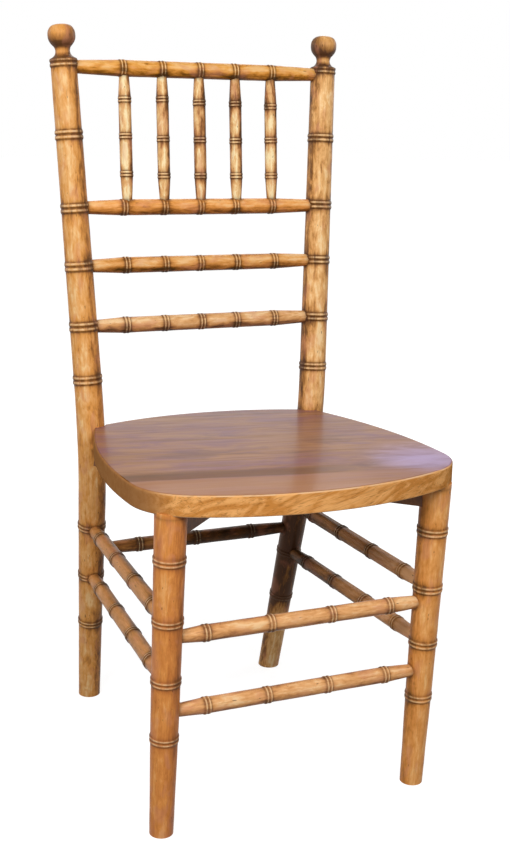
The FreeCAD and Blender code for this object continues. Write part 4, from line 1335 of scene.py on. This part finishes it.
# %% [markdown]
# Floor and surroundings
#
# The chair stands on a plain pale floor. The camera and glossy surfaces see a white room, but
# the light that falls on the chair comes from the lamps and a much dimmer room, so that its
# colours are not washed out. The floor glows for the camera alone, a little less near the
# chair, which makes it as white as the room and leaves a faint shadow.

# %% Floor and world
WHITE, FLOOR_GREY = (1, 1, 1, 1), (0.3, 0.3, 0.3, 1)
ROOM_LIGHT = 0.1
FLOOR_SIZE = 12
GLOW_NEAR, GLOW_FAR = 0.86, 1.0
GLOW_GROWS = (0.3, 1.3)


def white_for_camera(tree):
    """1 for rays that come from the camera, from a mirror or through glass."""
    ray = add(tree, "ShaderNodeLightPath")
    seen = Field(ray, "Is Camera Ray").at_least(Field(ray, "Is Glossy Ray"))
    return seen.at_least(Field(ray, "Is Transmission Ray"))


def white_room():
    world = bpy.data.worlds.new("room")
    world.use_nodes = True
    tree = world.node_tree
    background = tree.nodes["Background"]
    background.inputs["Color"].default_value = WHITE
    strength = white_for_camera(tree) * (1 - ROOM_LIGHT) + ROOM_LIGHT
    feed(background.inputs["Strength"], strength)
    bpy.context.scene.world = world


def pale_floor():
    mesh = bpy.data.meshes.new("floor")
    far = FLOOR_SIZE
    corners = [(-far, -far, 0), (far, -far, 0), (far, far, 0), (-far, far, 0)]
    mesh.from_pydata(corners, [], [(0, 1, 2, 3)])
    floor = new_object("floor", mesh)
    material, tree, shader = new_material("floor_paint")
    glow = smooth_step(object_place(tree).calc("LENGTH"), *GLOW_GROWS, GLOW_NEAR, GLOW_FAR)
    glow = white_for_camera(tree) * glow
    diffuse = shade(tree, "BsdfDiffuse", {"Color": FLOOR_GREY})
    emission = shade(tree, "Emission", {"Color": WHITE, "Strength": glow})
    both = shade(tree, "AddShader", {0: diffuse, 1: emission})
    feed(tree.nodes["Material Output"].inputs["Surface"], both)
    tree.nodes.remove(shader)
    mesh.materials.append(material)


white_room()
pale_floor()
print("floor and room made")

# %% [markdown]
# Light
#
# The photograph was lit by one broad soft source above the camera: the upper front of every
# round stick is bright, its sides and underside fall off quickly, and what lies under the seat
# is dark. Two softboxes side by side do the same. Weaker lamps behind and beside the chair keep
# it readable from its other sides.

# %% Lamps
LIT_POINT = Vector((0, 0, 0.45))


def lamp(name, place, size, power):
    data = bpy.data.lights.new(name, "AREA")
    data.shape = "DISK"
    data.size = size
    data.energy = power
    item = new_object(name, data)
    item.location = place
    item.rotation_mode = "QUATERNION"
    item.rotation_quaternion = (LIT_POINT - Vector(place)).to_track_quat("-Z", "Y")


lamp("left_softbox", (-1.3, -1.25, 1.65), 1.0, 28)
lamp("right_softbox", (0.15, -1.6, 1.7), 1.0, 20)
lamp("back_lamp", (0.9, 2.0, 1.9), 1.4, 10)
lamp("right_side_lamp", (2.4, 0.7, 1.3), 1.2, 14)
lamp("left_back_lamp", (-1.9, 1.7, 1.3), 1.2, 14)

# %% [markdown]
# The camera
#
# The photograph's camera was worked out from the rings on the posts and legs: it stands one and
# a half metres in front, to the left, looks down by fifteen degrees, and is rolled slightly.

# %% The camera
CAMERA_PLACE = Vector((-0.6503, -1.4549, 0.8592))
CAMERA_YAW = math.radians(-24.33)
CAMERA_PITCH = math.radians(14.91)
CAMERA_ROLL = math.radians(1.83)
PICTURE_HEIGHT = 861
FOCAL_PIXELS = 1320


def place_camera():
    turned = Matrix.Rotation(CAMERA_YAW, 3, "Z")
    turned = turned @ Matrix.Rotation(math.pi / 2 - CAMERA_PITCH, 3, "X")
    turned = turned @ Matrix.Rotation(CAMERA_ROLL, 3, "Z")
    data = bpy.data.cameras.new("camera")
    data.sensor_width = 36
    data.lens = data.sensor_width * FOCAL_PIXELS / PICTURE_HEIGHT
    data.clip_start = 0.05
    data.clip_end = 100
    camera = new_object("camera", data)
    camera.location = CAMERA_PLACE
    camera.rotation_mode = "QUATERNION"
    camera.rotation_quaternion = turned.to_quaternion()
    bpy.context.scene.camera = camera
    return camera


camera = place_camera()
bpy.context.scene.view_settings.view_transform = "Standard"
print("lens", round(camera.data.lens, 2), "mm")
